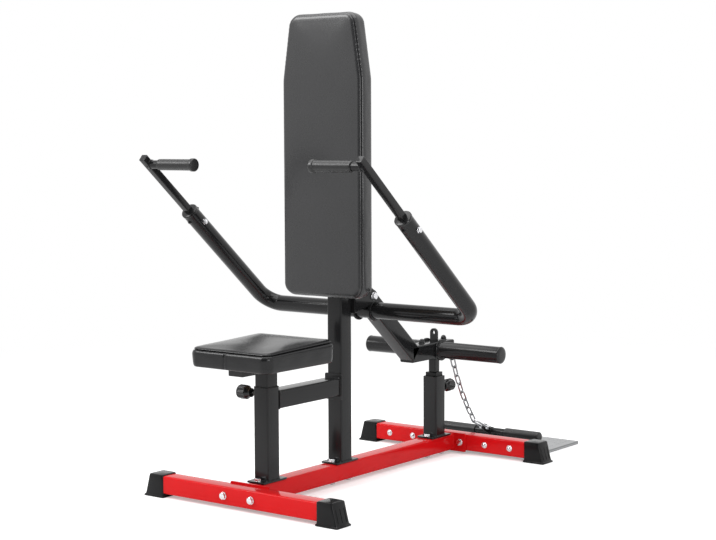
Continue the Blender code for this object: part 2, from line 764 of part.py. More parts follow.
def seat():
    """The seat on its inner tube, which slides in the seat post."""
    carrier = axis_empty("seat_height_axis", (0, SEAT_POST_Y, SEAT_POST_TOP))
    frame_bottom = SEAT_UNDERSIDE - SEAT_FRAME_HEIGHT
    top = frame_bottom - GAP
    inner = tube("seat_tube", (INNER_TUBE, INNER_TUBE), top - SEAT_TUBE_BOTTOM, INNER_CORNER,
                 TUBE_WALL, BLACK_COAT, (0, SEAT_POST_Y, (top + SEAT_TUBE_BOTTOM) / 2), (0, 0, 0),
                 carrier)
    places = [(step * SEAT_HOLE_PITCH, 0) for step in SEAT_HOLES]
    holes = rod_mesh(KNOB_PIN + 2 * BOLT_PLAY, TUBE / 2, BOLT_SIDES, places)
    cut(inner, "height_holes", holes, (-INNER_TUBE / 2, SEAT_POST_Y, SEAT_KNOB_Z), ALONG_X)
    middle = (SEAT_FRAME_FRONT + SEAT_FRAME_REAR) / 2
    tube("seat_frame", (SEAT_FRAME_WIDTH, SEAT_FRAME_HEIGHT), SEAT_FRAME_REAR - SEAT_FRAME_FRONT,
         SEAT_FRAME_WALL, SEAT_FRAME_WALL, BLACK_COAT,
         (0, middle, frame_bottom + SEAT_FRAME_HEIGHT / 2), ALONG_Y, carrier)
    x = SEAT_WIDTH / 2
    y = SEAT_DEPTH / 2
    corners = [(-x, -y), (x, -y), (x, y), (-x, y)]
    board_where = (0, SEAT_CENTRE_Y, SEAT_UNDERSIDE)
    padded("seat", corners, SEAT_CORNER, (3, 3, 3, 3), SEAT_THICK, board_where,
           (0, 0, 0), carrier, SEAT_RISE)


def back_rest():
    """The back cushion, which narrows above its shoulders."""
    x = BACK_WIDTH / 2
    top_x = BACK_TOP_WIDTH / 2
    shoulder = BACK_SHOULDER - BACK_BOTTOM
    top = BACK_TOP - BACK_BOTTOM
    corners = [(-x, 0), (x, 0), (x, shoulder), (top_x, top), (-top_x, top), (-x, shoulder)]
    padded("back", corners, BACK_CORNER, (3, 3, 1, 3, 1, 3), BACK_THICK,
           (0, BACK_PLANE, BACK_BOTTOM), FRONT_VIEW)


def pivot_bracket():
    """Two cheeks on a plate behind the main post, which hold the pivot bolt."""
    face = TUBE / 2 + GAP
    low, high = BRACKET_BASE
    base = box_mesh(2 * BRACKET_OUTSIDE, BRACKET_THICK, high - low)
    middle = (0, face + BRACKET_THICK / 2, (low + high) / 2)
    bracket = part("pivot_bracket", base, BLACK_COAT, middle)
    root = face + BRACKET_THICK / 2
    outline = nose_outline((root, low), (root, high), (PIVOT_Y, PIVOT_Z), BRACKET_NOSE)
    for side, word in SIDES:
        cheek = plate_mesh(outline, BRACKET_THICK)
        where = (side * (BRACKET_OUTSIDE - BRACKET_THICK / 2), 0, 0)
        join(bracket, f"cheek_{word}", cheek, where, SIDE_VIEW)
    bore = rod_mesh(PIVOT_BOLT + 2 * BOLT_PLAY, 4 * BRACKET_OUTSIDE)
    cut(bracket, "pivot_bore", bore, (0, PIVOT_Y, PIVOT_Z), ALONG_X)


def pivot(carrier):
    """The pivot bolt through the cheeks, and the bush that the lever turns with."""
    grip = 2 * (BRACKET_OUTSIDE + GAP)
    bolt = bolt_mesh(PIVOT_BOLT, PIVOT_HEAD, BOLT_HEAD_HEIGHT, grip)
    part("pivot_bolt", bolt, CHROME, (grip / 2, PIVOT_Y, PIVOT_Z), ALONG_X)
    half = BRACKET_OUTSIDE - BRACKET_THICK - GAP
    bore = PIVOT_BOLT / 2 + GAP
    outside = bore + BUSH_WALL
    profile = [(outside, half), (outside, -half), (bore, -half), (bore, half)]
    turned("pivot_bush", profile, True, PLASTIC, (0, PIVOT_Y, PIVOT_Z), ALONG_X, carrier)


def along_beam(distance):
    """The point on the lever's beam at a distance below the pivot."""
    rise = distance * math.sin(LEVER_ANGLE)
    return Vector((0, PIVOT_Y + distance * math.cos(LEVER_ANGLE), PIVOT_Z - rise))


def lever(carrier):
    """The cranked lever: a sloping beam, a level tail, its leg, lug, eye and gussets."""
    down = (-math.pi / 2 - LEVER_ANGLE, 0, 0)
    length = LEVER_LENGTH + LEVER_TOP_END
    middle = along_beam((LEVER_LENGTH - LEVER_TOP_END) / 2)
    beam = part("lever", prism_mesh(TUBE, TUBE, length, TUBE_CORNER), BLACK_COAT, middle, down, carrier)
    tail_front = JUNCTION_Y - TAIL_FRONT_REACH
    tail = prism_mesh(TUBE, TUBE, TAIL_REAR - tail_front, TUBE_CORNER)
    join(beam, "tail", tail, (0, (TAIL_REAR + tail_front) / 2, HORN_Z), ALONG_Y)
    leg = prism_mesh(LEG, LEG, HORN_Z - LEG_BOTTOM, LEG_CORNER)
    join(beam, "leg", leg, (0, REAR_POST_Y, (HORN_Z + LEG_BOTTOM) / 2))
    nose = LUG_TOP - LUG_WIDTH / 2
    outline = nose_outline((LUG_WIDTH / 2, HORN_Z), (-LUG_WIDTH / 2, HORN_Z), (0, nose), LUG_WIDTH / 2)
    join(beam, "lug", plate_mesh(outline, LUG_THICK), (0, REAR_POST_Y, 0), FRONT_VIEW)
    under = HORN_Z - TUBE / 2 + TUBE_WALL / 2
    eye = (EYE_Y, EYE_Z)
    outline = nose_outline((EYE_FRONT, under), (TAIL_REAR - TUBE_WALL, under), eye, EYE_RADIUS)
    join(beam, "eye", plate_mesh(outline, EYE_THICK), (0, 0, 0), SIDE_VIEW)
    for side, word in SIDES:
        disc = rod_mesh(2 * GUSSET_RADIUS, GUSSET_THICK, WIDE_ROUND_SIDES)
        where = (side * (TUBE / 2 + GUSSET_THICK / 2 - GAP), ARM_Y, ARM_Z)
        join(beam, f"gusset_{word}", disc, where, ALONG_X)
    inside = TUBE - 2 * TUBE_WALL
    bore = prism_mesh(inside, inside, LEVER_LENGTH, TUBE_CORNER - TUBE_WALL)
    cut(beam, "beam_bore", bore, along_beam(LEVER_LENGTH / 2 - TUBE), down)
    bore_length = 2 * (TAIL_REAR - JUNCTION_Y - TUBE / 4)
    bore = prism_mesh(inside, inside, bore_length, TUBE_CORNER - TUBE_WALL)
    cut(beam, "tail_bore", bore, (0, TAIL_REAR, HORN_Z), ALONG_Y)
    seat_bore = rod_mesh(ARM_DIAMETER + 2 * GAP, 2 * TUBE, WIDE_ROUND_SIDES)
    cut(beam, "arm_seat", seat_bore, (0, ARM_Y, ARM_Z), ALONG_X)
    bush_bore = rod_mesh(PIVOT_BOLT + 2 * BUSH_WALL + 4 * GAP, 2 * TUBE)
    cut(beam, "bush_bore", bush_bore, (0, PIVOT_Y, PIVOT_Z), ALONG_X)
    cut(beam, "lug_hole", rod_mesh(LUG_HOLE, TUBE), (0, REAR_POST_Y, nose), ALONG_Y)
    cut(beam, "eye_hole", rod_mesh(EYE_HOLE, TUBE), (0, EYE_Y, EYE_Z), ALONG_X)


def horns(carrier):
    """The two weight horns on the lever's tail, each with a stop flange and an end cap."""
    start = TUBE / 2 + GAP
    length = HORN_TIP - HORN_CAP_DOME - GAP - start
    radius = HORN_DIAMETER / 2
    bore = radius - HORN_WALL
    flange = HORN_FLANGE / 2
    horn = [(radius, length), (radius, HORN_FLANGE_THICK), (flange, HORN_FLANGE_THICK)]
    horn += [(flange, 0), (bore, 0), (bore, length)]
    dome = [(0, HORN_CAP_DOME)]
    for at in range(1, HORN_CAP_STEPS + 1):
        angle = math.radians(90) * (1 - at / HORN_CAP_STEPS)
        dome.append((radius * math.cos(angle), HORN_CAP_DOME * math.sin(angle)))
    cap = dome + [(bore - GAP, 0), (bore - GAP, -CAP_PLUG), (0, -CAP_PLUG)]
    for side, word in SIDES:
        turn = ALONG_X if side > 0 else ALONG_MINUS_X
        where = (side * start, REAR_POST_Y, HORN_Z)
        turned(f"horn_{word}", horn, True, BLACK_COAT, where, turn, carrier)
        where = (side * (HORN_TIP - HORN_CAP_DOME), REAR_POST_Y, HORN_Z)
        turned(f"horn_cap_{word}", cap, False, RUBBER, where, turn, carrier)


def arm_path(extra):
    """The press arm's middle line from mouth to mouth, run on by some extra at both ends."""
    up = Vector((0, -math.cos(ARM_ANGLE), math.sin(ARM_ANGLE)))
    centre = Vector((ARM_HALF_WIDTH - ARM_BEND, 0, 0)) + up * ARM_BEND
    half = [Vector((ARM_HALF_WIDTH, 0, 0)) + up * (ARM_REACH + extra)]
    for at in range(ARM_BEND_STEPS + 1):
        angle = math.radians(90) * at / ARM_BEND_STEPS
        outwards = Vector((ARM_BEND * math.cos(angle), 0, 0))
        half.append(centre + outwards - up * ARM_BEND * math.sin(angle))
    return [Vector((-point.x, point.y, point.z)) for point in half] + half[::-1]


def on_arm(side, distance):
    """The point on one arm's middle line at a distance from the cross tube."""
    rise = distance * math.sin(ARM_ANGLE)
    return Vector((side * ARM_HALF_WIDTH, ARM_Y - distance * math.cos(ARM_ANGLE), ARM_Z + rise))


def press_arm(carrier):
    """The one bent tube that passes through the lever and runs forwards on both sides."""
    where = (0, ARM_Y, ARM_Z)
    skin = wire_mesh(arm_path(0), ARM_DIAMETER, ARM_RESOLUTION)
    arm = part("press_arm", skin, BLACK_COAT, where, (0, 0, 0), carrier)
    bore = wire_mesh(arm_path(TUBE / 2), ARM_DIAMETER - 2 * ARM_WALL, ARM_RESOLUTION)
    cut(arm, "bore", bore, where)
    for side, word in SIDES:
        hole = rod_mesh(ARM_BOLT + 2 * BOLT_PLAY, 2 * TUBE)
        cut(arm, f"bolt_hole_{word}", hole, on_arm(side, ARM_REACH - ARM_BOLT_BACK), ALONG_X)


def handles(carrier):
    """The handle bars in the arm's mouths, their bolts, and the grips that point inwards."""
    length = HANDLE_BAR_IN + HANDLE_BAR_OUT
    middle = ARM_REACH + (HANDLE_BAR_OUT - HANDLE_BAR_IN) / 2
    grip_at = ARM_REACH + HANDLE_BAR_OUT - GRIP_BACK
    core_end = GRIP_END + GRIP_END_WALL + GAP
    core_length = ARM_HALF_WIDTH - core_end
    bolt_at = ARM_REACH - ARM_BOLT_BACK
    sleeve = GRIP_START - GRIP_END
    outside = GRIP_DIAMETER / 2
    bore = GRIP_CORE / 2 + GAP
    flange = GRIP_FLANGE / 2
    grip = [(0, sleeve), (flange, sleeve), (flange, sleeve - GRIP_FLANGE_LENGTH)]
    grip += [(outside, sleeve - GRIP_FLANGE_LENGTH), (outside, 0), (bore, 0)]
    grip += [(bore, sleeve - GRIP_END_WALL), (0, sleeve - GRIP_END_WALL)]
    bolt = bolt_mesh(ARM_BOLT, ARM_BOLT_HEAD, ARM_BOLT_HEAD_HEIGHT, ARM_DIAMETER + 2 * GAP)
    for side, word in SIDES:
        bar = part(f"handle_bar_{word}", prism_mesh(HANDLE_BAR, HANDLE_BAR, length, BAR_CORNER),
                   BLACK_COAT, on_arm(side, middle), (math.pi / 2 - ARM_ANGLE, 0, 0), carrier)
        at = on_arm(side, grip_at)
        core = (side * (ARM_HALF_WIDTH + core_end) / 2, at.y, at.z)
        join(bar, "grip_core", rod_mesh(GRIP_CORE, core_length), core, ALONG_X)
        hole = rod_mesh(ARM_BOLT + 2 * BOLT_PLAY, 2 * TUBE)
        cut(bar, "bolt_hole", hole, on_arm(side, bolt_at), ALONG_X)
        inwards = ALONG_MINUS_X if side > 0 else ALONG_X
        turned(f"grip_{word}", grip, False, RUBBER, (side * GRIP_START, at.y, at.z), inwards, carrier)
        head = on_arm(side, bolt_at) + Vector((side * (ARM_DIAMETER / 2 + GAP), 0, 0))
        outwards = ALONG_X if side > 0 else ALONG_MINUS_X
        part(f"arm_bolt_{word}", bolt, CHROME, head, outwards, carrier)


def height_stop():
    """The inner tube in the rear post, with the rubber pad that the lever's leg stands on."""
    carrier = axis_empty("stop_height_axis", (0, REAR_POST_Y, REAR_POST_TOP))
    inner = tube("stop_tube", (INNER_TUBE, INNER_TUBE), REAR_POST_TOP - STOP_TUBE_BOTTOM, INNER_CORNER,
                 TUBE_WALL, BLACK_COAT, (0, REAR_POST_Y, (REAR_POST_TOP + STOP_TUBE_BOTTOM) / 2),
                 (0, 0, 0), carrier)
    places = [(0, -step * STOP_HOLE_PITCH) for step in STOP_HOLES]
    holes = rod_mesh(KNOB_PIN + 2 * BOLT_PLAY, TUBE / 2, BOLT_SIDES, places)
    cut(inner, "height_holes", holes, (0, REAR_POST_Y + INNER_TUBE / 2, STOP_KNOB_Z), ALONG_Y)
    pad = prism_mesh(STOP_PAD, STOP_PAD, STOP_PAD_THICK, LEG_CORNER)
    part("stop_pad", pad, RUBBER, (0, REAR_POST_Y, LEG_BOTTOM - GAP - STOP_PAD_THICK / 2),
         (0, 0, 0), carrier)


def heading(tilt):
    """The direction that lies at an angle from straight down, towards the rear."""
    return Vector((0, math.sin(tilt), -math.cos(tilt)))


def chain_places(tilt):
    """Each link's tilt and top end, then the shackle's crown, when the first link has this tilt."""
    start = Vector((0, EYE_Y, EYE_Z - (EYE_HOLE - LINK_WIRE) / 2 + EYE_CLEARANCE))
    links = []
    for number in range(LINK_COUNT):
        links.append((tilt + number * LINK_CURL, start))
        start = start + heading(links[-1][0]) * (LINK_INSIDE - GAP)
    last_tilt, last_start = links[-1]
    crown = last_start + heading(last_tilt) * (LINK_INSIDE + (LINK_WIRE - SHACKLE_WIRE) / 2 - GAP)
    return links, crown


def bar_axis(crown):
    """The row bar's axis, behind the shackle and its lug."""
    return crown + heading(SHACKLE_TILT) * (SHACKLE_LENGTH + ROW_LUG_REACH)


def hanging_tilt():
    """The first link's tilt at which the row bar lies on the footplate, by halving."""
    low = 0.0
    high = MOST_TILT
    for _ in range(HALVINGS):
        middle = (low + high) / 2
        if bar_axis(chain_places(middle)[1]).z < ROW_BAR_Z:
            low = middle
        else:
            high = middle
    return (low + high) / 2


def link_loop(wide):
    """A link's middle line: two straight sides and two half circles, from its top end down."""
    radius = (LINK_WIDTH - LINK_WIRE) / 2
    ends = (radius, LINK_INSIDE + LINK_WIRE - radius)
    loop = arc((0, ends[0]), radius, math.pi, 2 * math.pi, 5)
    loop += arc((0, ends[1]), radius, 0, math.pi, 5)
    return [(x, 0, z) if wide else (0, x, z) for x, z in loop]


def shackle(crown, carrier):
    """A bow with two ears and a pin through the row bar's lug."""
    half = (SHACKLE_WIDTH - SHACKLE_WIRE) / 2
    bow = [(-half, 0, SHACKLE_LENGTH)]
    bow += [(x, 0, z) for x, z in arc((0, half), half, math.pi, 2 * math.pi, 6)]
    bow.append((half, 0, SHACKLE_LENGTH))
    turn = (math.pi + SHACKLE_TILT, 0, 0)
    pin_at = crown + heading(SHACKLE_TILT) * SHACKLE_LENGTH
    body = part("shackle", wire_mesh(bow, SHACKLE_WIRE, 2), CHROME, crown, turn, carrier)
    for side, word in SIDES:
        ear = rod_mesh(SHACKLE_EAR, SHACKLE_WIRE)
        join(body, f"ear_{word}", ear, pin_at + Vector((side * half, 0, 0)), ALONG_X)
    pin = rod_mesh(SHACKLE_PIN, SHACKLE_WIDTH + SHACKLE_PIN)
    join(body, "pin", pin, pin_at, ALONG_X)


def row_bar(axis, carrier):
    """The pull bar on the footplate, with its lug and two rubber grips."""
    length = ROW_BAR_LENGTH - 2 * (ROW_GRIP_END + GAP)
    bar = part("row_bar", rod_mesh(ROW_BAR, length), BLACK_COAT, axis, ALONG_X, carrier)
    back = -heading(SHACKLE_TILT)
    nose = Vector((axis.y, axis.z)) + Vector((back.y, back.z)) * ROW_LUG_REACH
    across = Vector((back.z, -back.y)) * ROW_LUG_BASE / 2
    base = Vector((axis.y, axis.z))
    outline = nose_outline(base + across, base - across, nose, ROW_LUG_NOSE)
    join(bar, "lug", plate_mesh(outline, ROW_LUG_THICK), (0, 0, 0), SIDE_VIEW)
    cut(bar, "pin_hole", rod_mesh(SHACKLE_PIN + 2 * GAP, TUBE), (0, nose.x, nose.y), ALONG_X)
    outside = ROW_GRIP / 2
    bore = ROW_BAR / 2 + GAP
    sleeve = [(0, ROW_GRIP_LENGTH), (outside, ROW_GRIP_LENGTH), (outside, 0), (bore, 0)]
    sleeve += [(bore, ROW_GRIP_LENGTH - ROW_GRIP_END), (0, ROW_GRIP_LENGTH - ROW_GRIP_END)]
    for side, word in SIDES:
        outwards = ALONG_X if side > 0 else ALONG_MINUS_X
        where = (side * (ROW_BAR_LENGTH / 2 - ROW_GRIP_LENGTH), axis.y, axis.z)
        turned(f"row_grip_{word}", sleeve, False, RUBBER, where, outwards, carrier)


def chain():
    """The chain from the lever's eye, the shackle and the row bar that it carries."""
    carrier = axis_empty("chain_hinge_axis", (0, EYE_Y, EYE_Z))
    links, crown = chain_places(hanging_tilt())
    meshes = [wire_mesh(link_loop(wide), LINK_WIRE, 1, True) for wide in (True, False)]
    for number, (tilt, start) in enumerate(links):
        name = f"chain_link_{number + 1}"
        part(name, meshes[number % 2], CHROME, start, (math.pi + tilt, 0, 0), carrier)
    shackle(crown, carrier)
    row_bar(bar_axis(crown), carrier)


def base():
    """The red base on its rubber feet, and the plate behind it."""
    stabiliser("front_stabiliser", FRONT_BAR_Y, FRONT_BAR_LENGTH)
    stabiliser("rear_stabiliser", REAR_BAR_Y, REAR_BAR_LENGTH)
    for side, word in SIDES:
        foot(f"front_foot_{word}", FRONT_BAR_Y, FRONT_BAR_LENGTH, side)
        foot(f"rear_foot_{word}", REAR_BAR_Y, REAR_BAR_LENGTH, side)
    main_rail()
    footplate()
    base_bolts()


def posts():
    """The three posts, the strut, and the two pull knobs with their bosses."""
    seat_post = post("seat_post", SEAT_POST_TOP)
    main_post = post("main_post", MAIN_POST_TOP)
    rear_post = post("rear_post", REAR_POST_TOP)
    back_brackets(main_post)
    post_cap()
    strut()
    seat_knob = (0, SEAT_POST_Y, SEAT_KNOB_Z)
    knob_boss(seat_post, seat_knob, ALONG_MINUS_X, (-1, 0, 0))
    pull_knob("seat_knob", seat_knob, ALONG_MINUS_X, (-1, 0, 0))
    stop_knob = (0, REAR_POST_Y, STOP_KNOB_Z)
    knob_boss(rear_post, stop_knob, ALONG_Y, (0, 1, 0))
    pull_knob("stop_knob", stop_knob, ALONG_Y, (0, 1, 0))


def lever_group():
    """Everything that swings on the pivot."""
    carrier = axis_empty("lever_hinge_axis", (0, PIVOT_Y, PIVOT_Z))
    pivot_bracket()
    pivot(carrier)
    lever(carrier)
    horns(carrier)
    press_arm(carrier)
    handles(carrier)


base()
posts()
seat()
back_rest()
lever_group()
height_stop()
chain()
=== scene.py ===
"""Looks of a seated dip machine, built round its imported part.

Metres, +Z up. The user sits facing -Y, and +X is the user's left. Depths are measured from the
main post's axis, as in the part's source, and build() moves each finished piece to the post.
"""

import math

import bmesh
import bpy
import numpy as np
from mathutils import Matrix, Vector


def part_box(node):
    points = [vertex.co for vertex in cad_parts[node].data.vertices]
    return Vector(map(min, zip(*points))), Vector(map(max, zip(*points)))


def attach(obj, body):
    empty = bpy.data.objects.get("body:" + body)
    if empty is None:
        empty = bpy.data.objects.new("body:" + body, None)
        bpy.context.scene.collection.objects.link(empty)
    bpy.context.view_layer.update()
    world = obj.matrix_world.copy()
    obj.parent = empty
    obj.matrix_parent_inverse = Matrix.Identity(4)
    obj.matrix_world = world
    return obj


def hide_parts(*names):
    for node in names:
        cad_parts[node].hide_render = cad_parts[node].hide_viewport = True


bl_info = {
    "name": "Seated dip machine",
    "version": (1, 0, 0),
    "blender": (4, 5, 0),
    "location": "3D View > Sidebar > Dip machine",
    "description": "Builds the looks of a seated dip machine round its packed part",
    "category": "Object",
}

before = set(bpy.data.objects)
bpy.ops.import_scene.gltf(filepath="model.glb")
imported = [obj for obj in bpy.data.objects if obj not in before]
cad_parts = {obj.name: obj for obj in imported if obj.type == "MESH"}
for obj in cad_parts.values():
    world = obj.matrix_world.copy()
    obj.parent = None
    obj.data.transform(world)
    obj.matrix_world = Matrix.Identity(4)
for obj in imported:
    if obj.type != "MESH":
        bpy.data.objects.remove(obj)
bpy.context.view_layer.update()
POST_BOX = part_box("main_post")
POST_Y = (POST_BOX[0].y + POST_BOX[1].y) / 2

X, Y, Z = np.eye(3)
SIDES = ((-1, "right"), (1, "left"))
GAP = 0.0003
EDGE = 0.0006
WELD_PITCH = 0.0042
TURN = 2 * math.pi

TUBE = 0.050
INNER_TUBE = 0.0445
HOLE_FACE = 0.0222
SEAT_STEP = 0.040
STOP_STEP = 0.025
WALL = 0.0025
CORNER = 0.005
RAIL_Z = 0.0355
RAIL_TOP = 0.0605
FRONT_BAR = -0.420
REAR_BAR = 0.578
SEAT_POST = -0.322
REAR_POST = 0.476
BARS = (("front", FRONT_BAR, 0.630), ("rear", REAR_BAR, 0.648))
POSTS = (("seat", SEAT_POST, 0.317), ("main", 0.0, 1.150), ("rear", REAR_POST, 0.250))
BOLT_SIZES = (0.010, 0.017, 0.0062)
FLANGE_BOLT_X = 0.048
BASE_BOLT_Y = 0.038
STRUT_Z = 0.2805
BACK_PLANE = -0.028
BRACKET_HEIGHTS = (0.640, 1.080)
BRACKET_THICK = 0.003
FOOT_THICK = 0.005
SEAT_KNOB_Z = 0.296
STOP_KNOB_Z = 0.211
SEAT_BAR_Z = 0.369
SEAT_BAR_ENDS = (-0.4445, -0.215)

PIVOT = np.array((0.0, 0.115, 0.528))
JUNCTION = np.array((0.0, 0.347, 0.332))
TAIL_REAR = 0.548
LEG_BOTTOM = 0.2626
EYE = np.array((0.0, 0.576, 0.298))
BRACKET_OUTSIDE = 0.0366

ARM_MIDDLE = np.array((0.0, 0.130, 0.485))
ARM_HALF_WIDTH = 0.3745
ARM_BEND = 0.058
ARM_REACH = 0.4453
ARM_RADIUS = 0.024
ARM_ANGLE = math.radians(40.2)
ARM_UP = np.array((0.0, -math.cos(ARM_ANGLE), math.sin(ARM_ANGLE)))
ARM_ACROSS = np.array((0.0, math.sin(ARM_ANGLE), math.cos(ARM_ANGLE)))
HANDLE_BAR_OUT = 0.2426
HANDLE_BAR_IN = 0.075
ARM_BOLT_BACK = 0.043
SET_SCREW_BACK = 0.0165
GRIP_BACK = 0.0275
GRIP_START = 0.335
GRIP_END = 0.202
RIB_PITCH = 0.004

LINKS = 8
LINK_LEAN = math.radians(2.4)
LINK_INSIDE = 0.032
LINK_WIRE = 0.005
LINK_WIDTH = 0.020
SHACKLE_TILT = math.radians(64)
SHACKLE_LENGTH = 0.070
ROW_LUG_REACH = 0.046
ROW_BAR = 0.366
ROW_GRIP = 0.127
ROW_BAR_LOWEST = 0.0268


def swatch(name, description, default):
    """A colour that a user can change."""
    return bpy.props.FloatVectorProperty(name=name, description=description, subtype="COLOR",
                                         size=3, min=0, max=1, default=default)


def amount(name, description, default, subtype="NONE", **limits):
    """A number that a user can change."""
    return bpy.props.FloatProperty(name=name, description=description, subtype=subtype,
                                   default=default, **limits)


class DipFinishSettings(bpy.types.PropertyGroup):
    """Colours of the machine's finishes."""
    red_paint: swatch("Red paint", "Colour of the base's gloss paint", (0.61, 0.007, 0.009))
    black_coat: swatch("Black coat", "Colour of the frame's powder coat", (0.011, 0.011, 0.0115))
    leatherette: swatch("Leatherette", "Colour of the cushions' cover", (0.009, 0.009, 0.0095))
    rubber: swatch("Rubber", "Colour of feet, grips and the stop's pad", (0.008, 0.008, 0.0085))
    plate_steel: swatch("Checker plate", "Colour of the footplate", (0.34, 0.345, 0.35))


class DipCushionSettings(bpy.types.PropertyGroup):
    """Sizes of the two cushions."""
    voxel: amount("Mesh size", "Spacing of the cushion's mesh before it swells", 0.005, "DISTANCE",
                  min=0.003, max=0.01)
    pressure: amount("Fill pressure", "Pressure that the foam puts on the cover", 4.0,
                     min=0, max=20)
    swell: amount("Swell", "How far the cover swells at its fullest point", 0.0032, "DISTANCE",
                  min=0, max=0.03)
    seam_height: amount("Seam height", "Height of the sewn seam above the underside", 0.046,
                        "DISTANCE", min=0.02, max=0.06)
    seam_depth: amount("Seam depth", "How deep the sewn seam draws the cover in", 0.0034,
                       "DISTANCE", min=0, max=0.006)
    gather: amount("Gathers", "Height of the small gathers beside the seam", 0.00045, "DISTANCE",
                   min=0, max=0.003)


class DipStageSettings(bpy.types.PropertyGroup):
    """Light of the stage and the photograph's camera."""
    sky: amount("Sky", "Strength of the even light from all round", 0.62, min=0)
    top_light: amount("Top light", "Power of the large lamp overhead", 94.0, "POWER", min=0)
    key_light: amount("Key light", "Power of the lamp in front, on the user's right", 104.0,
                      "POWER", min=0)
    side_light: amount("Side light", "Power of the lamp on the user's left", 36.0, "POWER", min=0)
    lens: amount("Focal length", "The photograph's lens on a 36 mm sensor", 80.9, min=10)


def unit(vectors):
    """Vectors brought to a length of 1."""
    return vectors / np.linalg.norm(vectors, axis=-1, keepdims=True)


def turns(steps):
    """Evenly spaced angles of a full turn."""
    return np.linspace(0, TURN, steps, endpoint=False)


def rounded(width, height, corner, steps=6):
    """Outline of a rectangle: at each corner a quarter circle about the corner's own centre."""
    angle = np.linspace(0, math.pi / 2, steps + 1)
    quarters = []
    for turn, (x, y) in enumerate(((1, 1), (-1, 1), (-1, -1), (1, -1))):
        at = angle + turn * math.pi / 2
        centre = (x * (width / 2 - corner), y * (height / 2 - corner))
        quarters.append(np.stack([np.cos(at), np.sin(at)], 1) * corner + centre)
    return np.concatenate(quarters)


def circle(radius, steps=32):
    """Outline of a circle: radius times cosine and sine of evenly spaced angles."""
    return np.stack([np.cos(turns(steps)), np.sin(turns(steps))], 1) * radius


def nose(first, last, centre, radius):
    """Outline of a lug: a straight base, and its two tangents to a circle round the centre."""
    first, last, centre = (np.array(point, float) for point in (first, last, centre))
    ends = []
    for point, way in ((first, 1), (last, -1)):
        away = point - centre
        ends.append(math.atan2(away[1], away[0]) + way * math.acos(radius / np.hypot(*away)))
    start, end = ends
    angle = np.linspace(start, end + TURN * (end < start), 20)
    curve = centre + radius * np.stack([np.cos(angle), np.sin(angle)], 1)
    share = np.linspace(0, 1, 10)[:, None]
    up = first + (curve[0] - first) * share[:-1]
    down = curve[-1] + (last - curve[-1]) * share[1:]
    return np.concatenate([up, curve, down])


def sides_of(outline):
    """The directions of the sides that come before and after each corner of an outline."""
    return unit(outline - np.roll(outline, 1, 0)), unit(np.roll(outline, -1, 0) - outline)


def drawn_in(outline, inset):
    """Outline moved in: a point goes inset / cos(half the bend) along its corner's bisector."""
    before, after = sides_of(outline)
    left = unit(np.stack([-before[:, 1] - after[:, 1], before[:, 0] + after[:, 0]], 1))
    cosine = -left[:, 0] * after[:, 1] + left[:, 1] * after[:, 0]
    return outline + left * inset / cosine[:, None]


def skin(points, along=False, caps=False):
    """Quads between neighbouring rows and columns of a (rows, columns, 3) grid, closed around."""
    rows, columns = points.shape[:2]
    index = np.arange(rows * columns).reshape(rows, columns)
    lower = index if along else index[:-1]
    upper = np.roll(index, -1, 0) if along else index[1:]
    faces = np.stack([lower, np.roll(lower, -1, 1), np.roll(upper, -1, 1), upper], -1)
    ends = [index[0, ::-1].tolist(), index[-1].tolist()] if caps else []
    return points.reshape(-1, 3), faces.reshape(-1, 4).tolist() + ends


def plane(side, along):
    """The two directions in which an outline's u and v run when it lies across another one."""
    return np.stack([side, np.cross(along, side)])


def loft(outline, rows, start, along, side):
    """One outline drawn in by each row's inset, at each row's distance along a straight line."""
    flat = plane(side, along)
    return np.array([start + along * far + drawn_in(outline, inset) @ flat for far, inset in rows])


def bar(outline, start, end, side, wall=0.0, edge=0.0007):
    """A straight bar with eased ends or, with a wall, a tube whose inner skin comes back."""
    span = np.subtract(end, start)
    length = np.linalg.norm(span)
    rows = [(0, edge), (edge, 0), (length - edge, 0), (length, edge)]
    if wall:
        inner = wall - edge
        rows += [(length, inner), (length - edge, wall), (edge, wall), (0, inner)]
    return skin(loft(outline, rows, start, span / length, side), along=bool(wall), caps=not wall)


def plate(outline, thick, centre, side, along):
    """A flat outline given a thickness about its centre, with eased edges."""
    half = along * thick / 2
    return bar(outline, centre - half, centre + half, side, edge=EDGE)


def carried(outline, path, side, closed=False, scale=1.0):
    """An outline carried along a path: point + u side + v (tangent x side), sized by scale."""
    ahead = np.roll(path, -1, 0) - np.roll(path, 1, 0) if closed else np.gradient(path, axis=0)
    across = np.cross(unit(ahead), side)[:, None]
    rings = outline * np.broadcast_to(scale, len(path))[:, None, None]
    return path[:, None] + rings[..., :1] * side + rings[..., 1:] * across


def aside(axis):
    """A direction square to an axis."""
    return np.cross(axis, Z if abs(axis[2]) < 0.9 else X)


def wheel(axis, u, angle):
    """Spokes round an axis: cos(angle) u + sin(angle) (axis x u)."""
    return np.cos(angle)[:, None] * u + np.sin(angle)[:, None] * np.cross(axis, u)


def lathe(profile, at, axis, steps=40, closed=False, flutes=None):
    """A profile turned about an axis: at + height axis + radius (cos a u + sin a v).

    Flutes (count, depth, low, high) shrink the radius by depth (1 - cos(count a)) / 2 between
    two heights.
    """
    profile = np.array(profile, float)
    angle = turns(steps)
    radius = np.repeat(profile[:, :1], steps, 1)
    if flutes:
        count, depth, low, high = flutes
        inside = (profile[:, 1] >= low) & (profile[:, 1] <= high)
        radius = radius - inside[:, None] * depth * (1 - np.cos(count * angle)) / 2
    spokes = wheel(axis, unit(aside(axis)), angle)
    return skin(at + profile[:, 1, None, None] * axis + radius[..., None] * spokes, along=closed)


